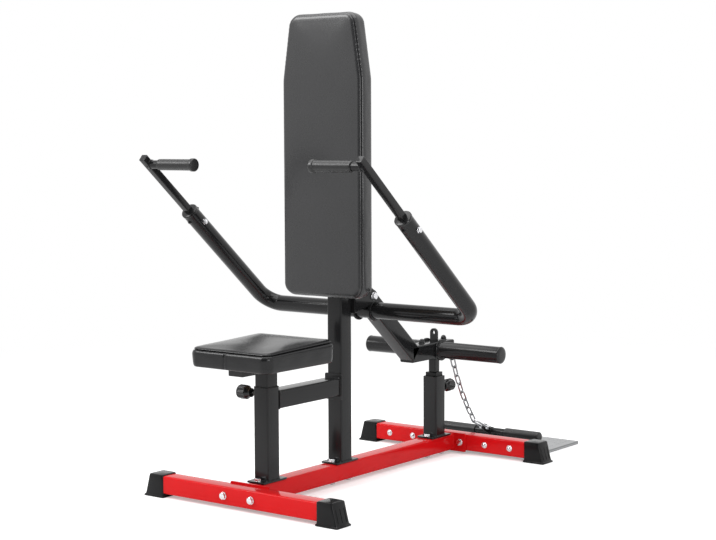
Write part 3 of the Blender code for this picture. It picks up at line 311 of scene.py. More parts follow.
def hexagon(flats, height, at, axis):
    """A hexagon head: its radius is flats / (2 cos a) in each sixth, cut by a 30 degree cone."""
    angle = turns(48)
    sixth = np.mod(angle + math.pi / 6, math.pi / 3) - math.pi / 6
    drops = np.concatenate([np.linspace(0, 0.08, 7) * flats, [height * 0.6, height]])
    cone = flats * 0.47 + drops * math.sqrt(3)
    radius = np.minimum(flats / 2 / np.cos(sixth), cone[:, None])
    spokes = wheel(axis, aside(axis), angle)
    return skin(at + (height - drops)[:, None, None] * axis + radius[..., None] * spokes, caps=True)


def fillet(centre, radius, start, end, steps=5):
    """Points of a round corner in a profile, from one angle in degrees to another."""
    angle = np.radians(np.linspace(start, end, steps))
    return list(zip(centre[0] + radius * np.cos(angle), centre[1] + radius * np.sin(angle)))


def crown(radius, base, rise):
    """Points of a dome in a profile: a quarter ellipse, from the rim to the axis."""
    return [(radius * math.cos(a), base + rise * math.sin(a))
            for a in np.radians(np.linspace(0, 90, 7))]


def ribs(first, last, count, radius, depth):
    """Points along a ribbed grip's profile: radius less depth (1 + cos) / 2, once in each pitch."""
    at = np.linspace(first, last, count)
    return list(zip(radius - depth * (1 + np.cos(at * TURN / RIB_PITCH)) / 2, at))


def washer(outside, inside, thick, at, axis):
    """A ring: a flat profile with bevelled rims, turned about the axis."""
    rim = thick * 0.3
    profile = [(inside, 0), (outside - rim, 0), (outside, rim), (outside, thick - rim),
               (outside - rim, thick), (inside, thick)]
    return lathe(profile, at, axis, 36, closed=True)


def bolt(shank, flats, head, grip, at, axis):
    """A hexagon bolt: washer, head, shank through the grip, washer, nut and a zigzag thread end."""
    disc, pitch = 0.0014, 0.0007
    wide = flats * 0.62
    far = at - axis * grip
    nut = flats * 0.42
    end = grip + disc + nut + 0.0015
    thread = [(shank / 2 - 0.0005 * (turn % 2), -end + 0.001 + turn * pitch) for turn in range(9)]
    profile = [(0, -end), (shank / 2 - 0.001, -end), *thread, (shank / 2, 0), (0, 0)]
    return [washer(wide, shank / 2, disc, at, axis), hexagon(flats, head, at + axis * disc, axis),
            washer(wide, shank / 2, disc, far, -axis),
            hexagon(flats, nut, far - axis * disc, -axis), lathe(profile, at, axis, 24)]


def dome_screw(radius, height, at, axis):
    """A round-headed screw: a quarter ellipse turned about the axis, with a well in its top."""
    well, floor = radius * 0.34, height * 0.45
    head = [(max(radius * math.cos(a), well), height * math.sin(a))
            for a in np.linspace(0, math.pi / 2, 8)[:-1]]
    profile = [(0, 0), *head, (well, height * 0.96), (well * 0.92, floor), (0, floor)]
    return lathe(profile, at, axis, 24)


def measured(path):
    """A closed path with its start again at its end, and each point's distance along it."""
    closed = np.concatenate([path, path[:1]])
    step = np.linalg.norm(np.diff(closed, axis=0), axis=1)
    return closed, np.concatenate([[0], np.cumsum(step)])


def points_at(closed, far, at):
    """The points of a measured path at given distances."""
    return np.stack([np.interp(at, far, closed[:, axis]) for axis in range(3)], 1)


def bead_round(outline, centre, side, along, radius=0.0026):
    """A weld round an outline that lies across a direction: its radius ripples once in a pitch."""
    closed, far = measured(centre + outline @ plane(side, along))
    count = max(24, int(far[-1] / WELD_PITCH) * 3)
    line = points_at(closed, far, np.linspace(0, far[-1], count, endpoint=False))
    number = np.arange(count)
    ripple = 1 + 0.16 * np.sin(number * TURN / 3) + 0.08 * np.sin(number * 0.9)
    return skin(carried(circle(radius, 8), line, along, True, ripple), along=True)


def bead_line(x, y, low, high, radius, steps):
    """An upright weld: a plain round bead between two heights."""
    line = np.linspace((x, y, low), (x, y, high), steps)
    return skin(carried(circle(radius, 8), line, Y), caps=True)


def pierced(outline, centre, radius, thick, origin, side, along):
    """A lug with a round hole: strips from outline to hole on both faces, and through the bore."""
    angle = np.arctan2(*(outline - centre).T[::-1])
    hole = centre + radius * np.stack([np.cos(angle), np.sin(angle)], 1)
    half, edge = along * thick / 2, along * EDGE
    eased = drawn_in(outline, EDGE)
    rows = [(hole, -half), (eased, -half), (outline, edge - half),
            (outline, half - edge), (eased, half), (hole, half)]
    flat = plane(side, along)
    return skin(np.array([origin + shift + ring @ flat for ring, shift in rows]), along=True)


def on_arm(side, distance):
    """The point on one arm's middle line at a distance from the cross tube."""
    return ARM_MIDDLE + ARM_UP * distance + X * side * ARM_HALF_WIDTH


def leaning(tilt):
    """The direction that hangs down and leans back by a tilt."""
    return np.array((0, math.sin(tilt), -math.cos(tilt)))


def feed(tree, made, feeds):
    """Gives each input of a node a value or another node's output."""
    for socket, value in feeds.items():
        if isinstance(value, bpy.types.NodeSocket):
            tree.links.new(value, made.inputs[socket])
        else:
            made.inputs[socket].default_value = value


def node(tree, kind, feeds=None, **settings):
    """A new shader node with its settings and inputs."""
    made = tree.nodes.new("ShaderNode" + kind)
    for key, value in settings.items():
        setattr(made, key, value)
    feed(tree, made, feeds or {})
    return made


def maths(tree, operation, *values, **settings):
    """The result of a Math node."""
    return node(tree, "Math", dict(enumerate(values)), operation=operation, **settings).outputs[0]


def ranged(tree, value, low, high, least=0.0, most=1.0, **settings):
    """A value brought from one range to another by a Map Range node."""
    feeds = {"Value": value, "From Min": low, "From Max": high, "To Min": least, "To Max": most}
    return node(tree, "MapRange", feeds, **settings).outputs[0]


def noise(tree, where, scale, detail, roughness=0.5, distortion=0.0):
    """The value of a Noise Texture node."""
    return node(tree, "TexNoise", {"Vector": where, "Scale": scale, "Detail": detail,
                                   "Roughness": roughness, "Distortion": distortion}).outputs["Fac"]


def mixed(tree, share, first, second):
    """Two colours mixed by a share."""
    return node(tree, "Mix", {0: share, 6: first, 7: second}, data_type="RGBA").outputs[2]


def grouped(tree, name, feeds):
    """A shared node group placed in a material with its own values."""
    return node(tree, "Group", feeds, node_tree=bpy.data.node_groups[name])


def new_group(name, inputs, outputs):
    """A shader node group with (name, kind, default) inputs and (name, kind) outputs."""
    tree = bpy.data.node_groups.new(name, "ShaderNodeTree")
    for socket, kind, value in inputs:
        made = tree.interface.new_socket(socket, in_out="INPUT", socket_type="NodeSocket" + kind)
        if value is not None:
            made.default_value = value
    for socket, kind in outputs:
        tree.interface.new_socket(socket, in_out="OUTPUT", socket_type="NodeSocket" + kind)
    return tree, tree.nodes.new("NodeGroupInput").outputs, tree.nodes.new("NodeGroupOutput")


def tone_group():
    """Tone: a colour made lighter and darker by slow noise, and a roughness by smudges and dust."""
    tree, given, made = new_group(
        "surface_tone",
        [("Vector", "Vector", None), ("Color", "Color", None), ("Spread", "Float", 0.08),
         ("Roughness", "Float", 0.5), ("Smudge", "Float", 0.06), ("Dust", "Float", 0.0)],
        [("Color", "Color"), ("Roughness", "Float")])
    slow = noise(tree, given["Vector"], 7.0, 4.0, 0.6)
    low = maths(tree, "SUBTRACT", 1.0, given["Spread"])
    high = maths(tree, "ADD", 1.0, given["Spread"])
    shade = ranged(tree, slow, 0.3, 0.7, low, high)
    toned = node(tree, "VectorMath", {0: given["Color"], "Scale": shade}, operation="SCALE")
    facing = node(tree, "NewGeometry").outputs["Normal"]
    level = ranged(tree, node(tree, "SeparateXYZ", {0: facing}).outputs["Z"], 0.5, 1.0)
    grains = ranged(tree, noise(tree, given["Vector"], 160.0, 6.0, 0.75), 0.45, 0.8)
    settled = maths(tree, "MULTIPLY", level, grains)
    dusty = maths(tree, "MULTIPLY", settled, given["Dust"])
    colour = mixed(tree, dusty, toned.outputs[0], (0.42, 0.40, 0.37, 1.0))
    smears = noise(tree, given["Vector"], 23.0, 5.0, distortion=1.2)
    centred = maths(tree, "SUBTRACT", smears, 0.5)
    swing = maths(tree, "MULTIPLY", centred, given["Smudge"])
    rough = maths(tree, "MULTIPLY_ADD", swing, 4.0, given["Roughness"])
    rough = maths(tree, "ADD", rough, dusty, use_clamp=True)
    feed(tree, made, {"Color": colour, "Roughness": rough})


def pebble_group():
    """Pebble: height from small cells and fine noise, for powder coat, paint, rubber and grain."""
    tree, given, made = new_group(
        "surface_pebble",
        [("Vector", "Vector", None), ("Cells", "Float", 900.0), ("Cell Share", "Float", 0.6),
         ("Fine", "Float", 2200.0)],
        [("Height", "Float")])
    cells = node(tree, "TexVoronoi", {"Vector": given["Vector"], "Scale": given["Cells"],
                                      "Randomness": 0.9}, feature="SMOOTH_F1")
    fine = noise(tree, given["Vector"], given["Fine"], 3.0)
    height = node(tree, "Mix", {"Factor": given["Cell Share"], "A": fine,
                                "B": cells.outputs["Distance"]})
    feed(tree, made, {"Height": height.outputs["Result"]})


def streak_group():
    """Streaks: noise stretched a long way along one axis, for brushed metal and wood."""
    tree, given, made = new_group(
        "surface_streaks",
        [("Vector", "Vector", None), ("Stretch", "Vector", (4.0, 260.0, 260.0)),
         ("Warp", "Float", 0.0)],
        [("Streak", "Float")])
    where = {0: given["Vector"], 1: given["Stretch"]}
    scaled = node(tree, "VectorMath", where, operation="MULTIPLY").outputs[0]
    feed(tree, made, {"Streak": noise(tree, scaled, 1.0, 5.0, 0.65, given["Warp"])})


def base_material(name, colour, roughness, spread, smudge, dust):
    """A Principled material whose colour and roughness come from the shared tone group."""
    made = bpy.data.materials.new(name)
    made.use_nodes = True
    tree = made.node_tree
    shader = tree.nodes["Principled BSDF"]
    where = node(tree, "TexCoord").outputs["Object"]
    tone = grouped(tree, "surface_tone", {
        "Vector": where, "Color": (*colour, 1.0), "Spread": spread, "Roughness": roughness,
        "Smudge": smudge, "Dust": dust}).outputs
    feed(tree, shader, {"Base Color": tone["Color"], "Roughness": tone["Roughness"]})
    return tree, shader, where, tone


def bumped(tree, shader, height, depth):
    """Feeds a height, as a share of a depth in metres, through a Bump node to the Normal."""
    bump = node(tree, "Bump", {"Height": height, "Distance": depth})
    feed(tree, shader, {"Normal": bump.outputs["Normal"]})


def pebbled(name, colour, roughness, cells, share, fine, depth, spread=0.08, smudge=0.03, dust=0.03,
            specular=0.5):
    """A material with a pebbled surface: paint, powder coat, leatherette, rubber or plastic."""
    tree, shader, where, _ = base_material(name, colour, roughness, spread, smudge, dust)
    pebble = grouped(tree, "surface_pebble", {"Vector": where, "Cells": cells, "Cell Share": share,
                                              "Fine": fine})
    bumped(tree, shader, pebble.outputs["Height"], depth)
    feed(tree, shader, {"Specular IOR Level": specular})


def streaked(name, colour, roughness, metallic, stretch, depth, spread, warp=0.0, dark=None):
    """A material with streaks along one axis: brushed, plated or rolled metal, and wood."""
    tree, shader, where, tone = base_material(name, colour, roughness, spread, 0.05, 0.0)
    streaks = grouped(tree, "surface_streaks", {"Vector": where, "Stretch": stretch, "Warp": warp})
    streak = streaks.outputs["Streak"]
    bumped(tree, shader, streak, depth)
    feed(tree, shader, {"Metallic": metallic})
    if dark:
        blend = ranged(tree, streak, 0.35, 0.65)
        feed(tree, shader, {"Base Color": mixed(tree, blend, (*dark, 1.0), tone["Color"])})


def make_finishes():
    """All the machine's finishes, by name."""
    chosen = bpy.context.scene.dip_finish
    tone_group()
    pebble_group()
    streak_group()
    pebbled("red_gloss_paint", chosen.red_paint, 0.11, 260.0, 0.35, 900.0, 0.000012, 0.05, 0.02,
            0.01, specular=0.14)
    pebbled("black_powder_coat", chosen.black_coat, 0.14, 1300.0, 0.5, 2600.0, 0.000016, 0.10,
            0.02, 0.02, specular=0.27)
    pebbled("black_leatherette", chosen.leatherette, 0.21, 760.0, 0.75, 2400.0, 0.00003, 0.08,
            0.012, 0.01, specular=0.33)
    # The back rest wears the seat's leatherette painted 2.2 times lighter: painted light on the
    # back rest's cover.
    painted_lighter_cover = [share * 2.2 for share in chosen.leatherette]
    pebbled("back_leatherette_painted_lighter", painted_lighter_cover, 0.27, 760.0, 0.75, 2400.0, 0.00004, 0.06, 0.012,
            0.01, specular=0.60)
    pebbled("seam_thread", chosen.leatherette, 0.75, 1500.0, 0.4, 3000.0, 0.00005, specular=0.15)
    pebbled("black_rubber", chosen.rubber, 0.19, 1100.0, 0.4, 2600.0, 0.00002, 0.12, 0.02, 0.02,
            specular=0.18)
    pebbled("grip_rubber", chosen.rubber, 0.30, 1500.0, 0.5, 3000.0, 0.0001, 0.10, 0.05, 0.02)
    pebbled("black_plastic", (0.008, 0.008, 0.0085), 0.20, 600.0, 0.3, 1800.0, 0.00005, 0.06,
            0.03, 0.02, specular=0.4)
    streaked("chrome", (0.46, 0.46, 0.47), 0.16, 1.0, (60.0, 900.0, 900.0), 0.00002, 0.03)
    streaked("zinc_plate", (0.34, 0.34, 0.35), 0.20, 1.0, (300.0, 300.0, 300.0), 0.00004, 0.08)
    streaked("rolled_steel", chosen.plate_steel, 0.34, 0.75, (3.0, 420.0, 420.0), 0.00003, 0.06)
    streaked("plywood", (0.50, 0.33, 0.18), 0.68, 0.0, (90.0, 6.0, 240.0), 0.0002, 0.12, 0.6,
             (0.33, 0.20, 0.10))


def put(name, data):
    """A new object in the scene."""
    made = bpy.data.objects.new(name, data)
    bpy.context.scene.collection.objects.link(made)
    return made


def meshed(name, points, faces):
    """A new mesh from points and faces."""
    mesh = bpy.data.meshes.new(name)
    mesh.from_pydata(points, [], faces)
    return mesh


def build(name, shapes, finish, body, *stands_for, slot=None, sharp=32, where=None):
    """One piece from several shapes: joined, its doubles merged and its faces turned outwards.

    It goes on its body and in place of its CAD nodes; its slot is not used.
    """
    points, faces, start = [], [], 0
    for verts, quads in shapes:
        faces += [[start + corner for corner in quad] for quad in quads]
        points.append(verts)
        start += len(verts)
    points = np.concatenate(points)
    mesh = meshed(name, (where(points) if where else points) + Y * POST_Y, faces)
    clean = bmesh.new()
    clean.from_mesh(mesh)
    bmesh.ops.remove_doubles(clean, verts=clean.verts, dist=0.000002)
    bmesh.ops.recalc_face_normals(clean, faces=clean.faces)
    clean.to_mesh(mesh)
    clean.free()
    mesh.shade_smooth()
    mesh.set_sharp_from_angle(angle=math.radians(sharp))
    mesh.materials.append(bpy.data.materials[finish])
    piece = put(name, mesh)
    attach(piece, body)
    if stands_for:
        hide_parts(*stands_for)
    return piece


def hole_rims(name, body, axis, places):
    """A tube's height holes: raised rims turned about its axis, each round a dark disc that is
    painted shade for the hole's inside.
    """
    profile = [(0.0057, -0.0022), (0.0057, 0.0002), (0.0052, 0.0004), (0.0049, 0.0002),
               (0.0046, -0.0022)]
    rims = [lathe(profile, at, axis, 24, closed=True) for at in places]
    build(name, rims, "black_powder_coat", body)
    # Dark discs in the holes: painted shade standing in for the tube's shaded inside.
    disc = [(0, -0.0004), (0.0047, -0.0004), (0.0047, 0.00005), (0, 0.00005)]
    build(f"{name}_painted_hole_shade", [lathe(disc, at, axis, 24) for at in places], "black_plastic", body)


class DIP_OT_finishes(bpy.types.Operator):
    """Makes the machine's paints, rubbers, metals and leatherette"""
    bl_idname = "dip.finishes"
    bl_label = "Finishes"

    def execute(self, context):
        make_finishes()
        return {"FINISHED"}


class DIP_OT_base_bars(bpy.types.Operator):
    """The two red cross bars and the long rail with its welded flanges"""
    bl_idname = "dip.base_bars"
    bl_label = "Base bars"

    def execute(self, context):
        ring = rounded(TUBE, TUBE, CORNER)
        for end, depth, length in BARS:
            tube = bar(ring, (-length / 2, depth, RAIL_Z), (length / 2, depth, RAIL_Z), Y, WALL)
            build(f"{end}_cross_bar", [tube], "red_gloss_paint", "frame", f"{end}_stabiliser")
        flange, thick = rounded(0.136, 0.058, 0.004, 4), 0.006
        front = FRONT_BAR + TUBE / 2 + GAP + thick / 2
        rear = REAR_BAR - TUBE / 2 - GAP - thick / 2
        shapes = [bar(ring, (0, front, RAIL_Z), (0, rear, RAIL_Z), X, WALL)]
        for depth, way in ((front, 1), (rear, -1)):
            shapes += [plate(flange, thick, (0, depth, RAIL_Z), X, Y),
                       bead_round(ring, (0, depth + way * thick / 2, RAIL_Z), X, Y)]
        build("long_rail", shapes, "red_gloss_paint", "frame", "main_rail")
        return {"FINISHED"}


class DIP_OT_feet(bpy.types.Operator):
    """The four rubber feet: a boot that flares outwards, with a lip at the floor and three ribs"""
    bl_idname = "dip.feet"
    bl_label = "Feet"

    def execute(self, context):
        rubber, flare = 0.0033, 0.017
        width = TUBE + 2 * rubber
        height = RAIL_Z + TUBE / 2 + rubber
        levels = ((0.0, 0.002, 0.001), (0.001, 0.003, 0), (0.0042, 0.003, 0), (0.005, 0.0022, 0),
                  (0.0062, 0.0004, 0), (0.012, 0, 0), (0.022, 0, 0), (0.034, 0, 0),
                  (height - 0.004, 0, 0), (height - 0.0012, -0.0008, 0), (height, -0.0035, 0))
        for end, depth, length in BARS:
            inner = length / 2 - 0.047
            outer = length / 2 + GAP + 0.004
            for side, word in SIDES:
                rows = []
                for z, grow, ease in levels:
                    tip = outer + flare * max(0, 1 - z / height) + grow
                    low = inner - grow
                    ring = rounded(tip - low, width + 2 * grow, 0.0055, 4)
                    ring = drawn_in(ring, ease) + ((tip + low) / 2, 0)
                    rows.append(np.column_stack([ring[:, 0] * side, ring[:, 1] + depth,
                                                 np.full(len(ring), z)]))
                shapes = [skin(np.array(rows), caps=True)]
                lean = unit(np.array((-side * flare, 0, height)))
                for rib in (-0.017, 0.0, 0.017):
                    tread = (side * (outer + 0.0095), depth + rib, RAIL_Z - 0.006)
                    half = np.cross(Y, lean) * side * 0.0016 / 2
                    ring = rounded(0.0022, 0.036, 0.001, 3)
                    shapes.append(bar(ring, tread - half, tread + half, Y, edge=0.0004))
                build(f"{end}_boot_{word}", shapes, "black_rubber", "frame", f"{end}_foot_{word}")
        return {"FINISHED"}


class DIP_OT_footplate(bpy.types.Operator):
    """The folded footplate with its raised lozenges and the four screws of its flange"""
    bl_idname = "dip.footplate"
    bl_label = "Footplate"

    def execute(self, context):
        half, depth, thick, top, low = 0.270, 0.297, 0.003, 0.010, 0.0006
        front = REAR_BAR + TUBE / 2 + GAP
        middle, back = front + depth / 2, front + depth - thick / 2
        deck = rounded(2 * half, depth, 0.004, 4)
        lip = rounded(2 * half, thick, 0.001, 2)
        flange, flange_z = rounded(2 * half, 0.046, 0.003, 4), 0.033
        shapes = [plate(deck, thick, (0, middle, top - thick / 2), X, Z),
                  bar(lip, (0, back, low), (0, back, top), X),
                  plate(flange, thick, (0, front + thick / 2, flange_z), X, Y)]
        for x in (thick / 2 - half, half - thick / 2):
            edge = rounded(thick, depth, 0.001, 2)
            shapes.append(bar(edge, (x, middle, low), (x, middle, top - 0.0005), X))
        shapes.append(self.lozenges(half, front, depth, top))
        build("checkered_footplate", shapes, "rolled_steel", "frame", "footplate")
        screws = []
        face = REAR_BAR - TUBE / 2
        for x in (-0.225, -0.135, 0.135, 0.225):
            screws += [washer(0.0095, 0.004, 0.001, (x, face, RAIL_Z), -Y),
                       dome_screw(0.0075, 0.0042, (x, face - 0.001, RAIL_Z), -Y)]
        build("footplate_screws", screws, "chrome", "frame")
        return {"FINISHED"}

    def lozenges(self, half, front, depth, top):
        """Raised lozenges: three ellipses each, one within the other, up to 0.9 mm above the top.

        Their rows run at one pitch both ways, and their long axes turn left and right.
        """
        pitch = 0.0205
        across = np.arange(-half + 0.018, half - 0.014, pitch)
        back = np.arange(front + 0.018, front + depth - 0.012, pitch)
        x, y = (grid.reshape(-1, 1) for grid in np.meshgrid(across, back))
        odd = np.add.outer(np.arange(len(back)), np.arange(len(across))).reshape(-1, 1) % 2
        angle = np.where(odd, math.pi / 4, -math.pi / 4)
        rings = []
        for share, lift in ((1.0, -0.0004), (0.75, 0.0005), (0.4, 0.0009)):
            long, short = 0.0085 * share * np.cos(turns(10)), 0.0021 * share * np.sin(turns(10))
            u = x + long * np.cos(angle) - short * np.sin(angle)
            v = y + long * np.sin(angle) + short * np.cos(angle)
            rings.append(np.stack([u, v, np.full_like(u, top + lift)], -1))
        points = np.stack(rings, 1)
        index = np.arange(points.size // 3).reshape(points.shape[:3])
        lower, upper = index[:, :-1], index[:, 1:]
        quads = np.stack([lower, np.roll(lower, -1, 2), np.roll(upper, -1, 2), upper], -1)
        faces = quads.reshape(-1, 4).tolist() + index[:, -1].tolist() + index[:, 0, ::-1].tolist()
        return points.reshape(-1, 3), faces


class DIP_OT_posts(bpy.types.Operator):
    """The three posts on their welded base plates, the strut, the cap and the back brackets"""
    bl_idname = "dip.posts"
    bl_label = "Posts and strut"

    def execute(self, context):
        ring = rounded(TUBE, TUBE, CORNER)
        foot = rounded(0.060, 0.100, 0.004, 4)
        low = RAIL_TOP + GAP
        extras = {"seat": self.boss(np.array((-TUBE / 2, SEAT_POST, SEAT_KNOB_Z)), -X),
                  "main": self.brackets(),
                  "rear": self.boss(np.array((0, REAR_POST + TUBE / 2, STOP_KNOB_Z)), Y)}
        for word, depth, top in POSTS:
            shapes = [bar(ring, (0, depth, low + 0.001), (0, depth, top), X, WALL),
                      plate(foot, FOOT_THICK, (0, depth, low + FOOT_THICK / 2), X, Z),
                      bead_round(ring, (0, depth, low + FOOT_THICK), X, Z), *extras[word]]
            build(f"{word}_upright", shapes, "black_powder_coat", "frame", f"{word}_post")
        front, rear = SEAT_POST + TUBE / 2 + GAP, -TUBE / 2 - GAP - FOOT_THICK / 2
        strut = [bar(ring, (0, front, STRUT_Z), (0, rear, STRUT_Z), X, WALL),
                 plate(rounded(0.060, 0.075, 0.004, 4), FOOT_THICK, (0, rear, STRUT_Z), X, Y),
                 bead_round(ring, (0, front + 0.001, STRUT_Z), X, Y),
                 bead_round(ring, (0, rear - 0.003, STRUT_Z), X, Y)]
        build("seat_strut_tube", strut, "black_powder_coat", "frame", "seat_strut")
        rows = [(0, 0.0), (0.0024, 0.0), (0.0036, 0.0008), (0.0040, 0.0024)]
        cap = skin(loft(ring, rows, (0, 0, 1.1503), Z, X), caps=True)
        build("post_top_cap", [cap], "black_plastic", "frame", "post_cap")
        screws = [dome_screw(0.0065, 0.0035, (x, BACK_PLANE + BRACKET_THICK, height + rise), Y)
                  for height in BRACKET_HEIGHTS for x in (-0.042, 0.042)
                  for rise in (-0.020, 0.020)]
        build("back_board_screws", screws, "zinc_plate", "frame")
        return {"FINISHED"}

    def brackets(self):
        """The two plates that carry the back rest's board, each with its two welds."""
        outline = rounded(0.110, 0.070, 0.006, 5)
        seam_y, reach = BACK_PLANE + 0.0035, 0.033
        shapes = []
        for height in BRACKET_HEIGHTS:
            middle = (0, BACK_PLANE + BRACKET_THICK / 2, height)
            shapes.append(plate(outline, BRACKET_THICK, middle, X, Y))
            shapes += [bead_line(x, seam_y, height - reach, height + reach, 0.0024, 46)
                       for x in (-0.0255, 0.0255)]
        return shapes

    def boss(self, at, axis):
        """The round boss welded on a post, in which a knob's pin runs."""
        profile = [(0.0053, 0), (0.010, 0), (0.010, 0.0112), (0.0092, 0.012), (0.0053, 0.012)]
        weld = bead_round(circle(0.0102, 24), at, np.cross(axis, Z), axis, 0.0018)
        return [lathe(profile, at - axis * 0.001, axis, 32, closed=True), weld]


class DIP_OT_base_bolts(bpy.types.Operator):
    """The bolts of the rail's flanges and of the posts' base plates"""
    bl_idname = "dip.base_bolts"
    bl_label = "Base bolts"

    def execute(self, context):
        flange_face = REAR_BAR - TUBE / 2 - 0.0066
        for end, depth in (("front", FRONT_BAR - TUBE / 2 - GAP), ("rear", flange_face)):
            for side, word in SIDES:
                shapes = bolt(*BOLT_SIZES, TUBE + 0.0069, (side * FLANGE_BOLT_X, depth, RAIL_Z), -Y)
                build(f"{end}_flange_fixing_{word}", shapes, "chrome", "frame",
                      f"{end}_flange_bolt_{word}")
        for post, depth, _ in POSTS:
            for side, word in ((-1, "front"), (1, "rear")):
                at = (0, depth + side * BASE_BOLT_Y, RAIL_TOP + FOOT_THICK + 2 * GAP)
                shapes = bolt(*BOLT_SIZES, TUBE + FOOT_THICK + 3 * GAP, at, Z)
                build(f"{post}_post_fixing_{word}", shapes, "chrome", "frame",
                      f"{post}_post_bolt_{word}")
        return {"FINISHED"}


class DIP_OT_pull_knobs(bpy.types.Operator):
    """The two fluted pull knobs on their pins"""
    bl_idname = "dip.pull_knobs"
    bl_label = "Pull knobs"

    def execute(self, context):
        start, end, radius = 0.051, 0.094, 0.020
        profile = [(0, 0.0226), (0.0045, 0.0226), (0.005, 0.0232), (0.005, start), (0.0112, start),
                   *fillet((0.0112, start + 0.0012), 0.0012, -90, 0, 4), (0.0124, start + 0.006),
                   (0.0132, start + 0.0075), (0.0165, start + 0.0125), (0.0188, start + 0.015),
                   (radius, start + 0.0168), (radius, start + 0.0185),
                   *((radius, at) for at in np.linspace(start + 0.020, end - 0.006, 8)),
                   *fillet((radius - 0.005, end - 0.005), 0.005, 0, 90, 8),
                   (0.009, end + 0.0003), (0.008, end - 0.0006), (0, end - 0.0006)]
        for word, at, axis in (("seat", (0, SEAT_POST, SEAT_KNOB_Z), -X),
                               ("stop", (0, REAR_POST, STOP_KNOB_Z), Y)):
            knob = lathe(profile, at, axis, 96, flutes=(8, 0.0028, start + 0.016, end - 0.0015))
            build(f"{word}_fluted_knob", [knob], "black_plastic", f"{word}_knob", f"{word}_knob")
        return {"FINISHED"}


class DIP_OT_seat_carrier(bpy.types.Operator):
    """The seat's inner tube with its holes, the frame under the seat, and the seat post's collar"""
    bl_idname = "dip.seat_carrier"
    bl_label = "Seat carrier"

    def execute(self, context):
        ring = rounded(INNER_TUBE, INNER_TUBE, 0.004)
        tube = [bar(ring, (0, SEAT_POST, 0.110), (0, SEAT_POST, 0.3588), X, WALL),
                bead_round(ring, (0, SEAT_POST, 0.3587), X, Z, 0.0008)]
        build("seat_inner_tube", tube, "black_powder_coat", "seat", "seat_tube")
        holes = [(-HOLE_FACE, SEAT_POST, SEAT_KNOB_Z + step * SEAT_STEP) for step in range(-1, 4)]
        hole_rims("seat_tube_holes", "seat", -X, holes)
        rail = rounded(0.050, 0.020, 0.003)
        front, rear = SEAT_BAR_ENDS
        under = bar(rail, (0, front, SEAT_BAR_Z), (0, rear, SEAT_BAR_Z), X, 0.002)
        build("seat_frame_bar", [under], "black_powder_coat", "seat", "seat_frame")
        rows = [(0, 0.0004), (0.0016, 0.0004), (0.0024, 0.0014)]
        ends = [skin(loft(rail, rows, (0, depth, SEAT_BAR_Z), Y * way, X), caps=True)
                for depth, way in ((front, -1), (rear, 1))]
        build("seat_frame_caps", ends, "black_plastic", "seat")
        collar = rounded(0.052, 0.052, 0.006)
        lip = bar(collar, (0, SEAT_POST, 0.3172), (0, SEAT_POST, 0.3188), X, 0.0025, 0.0004)
        build("seat_post_collar", [lip], "black_plastic", "frame")
        return {"FINISHED"}


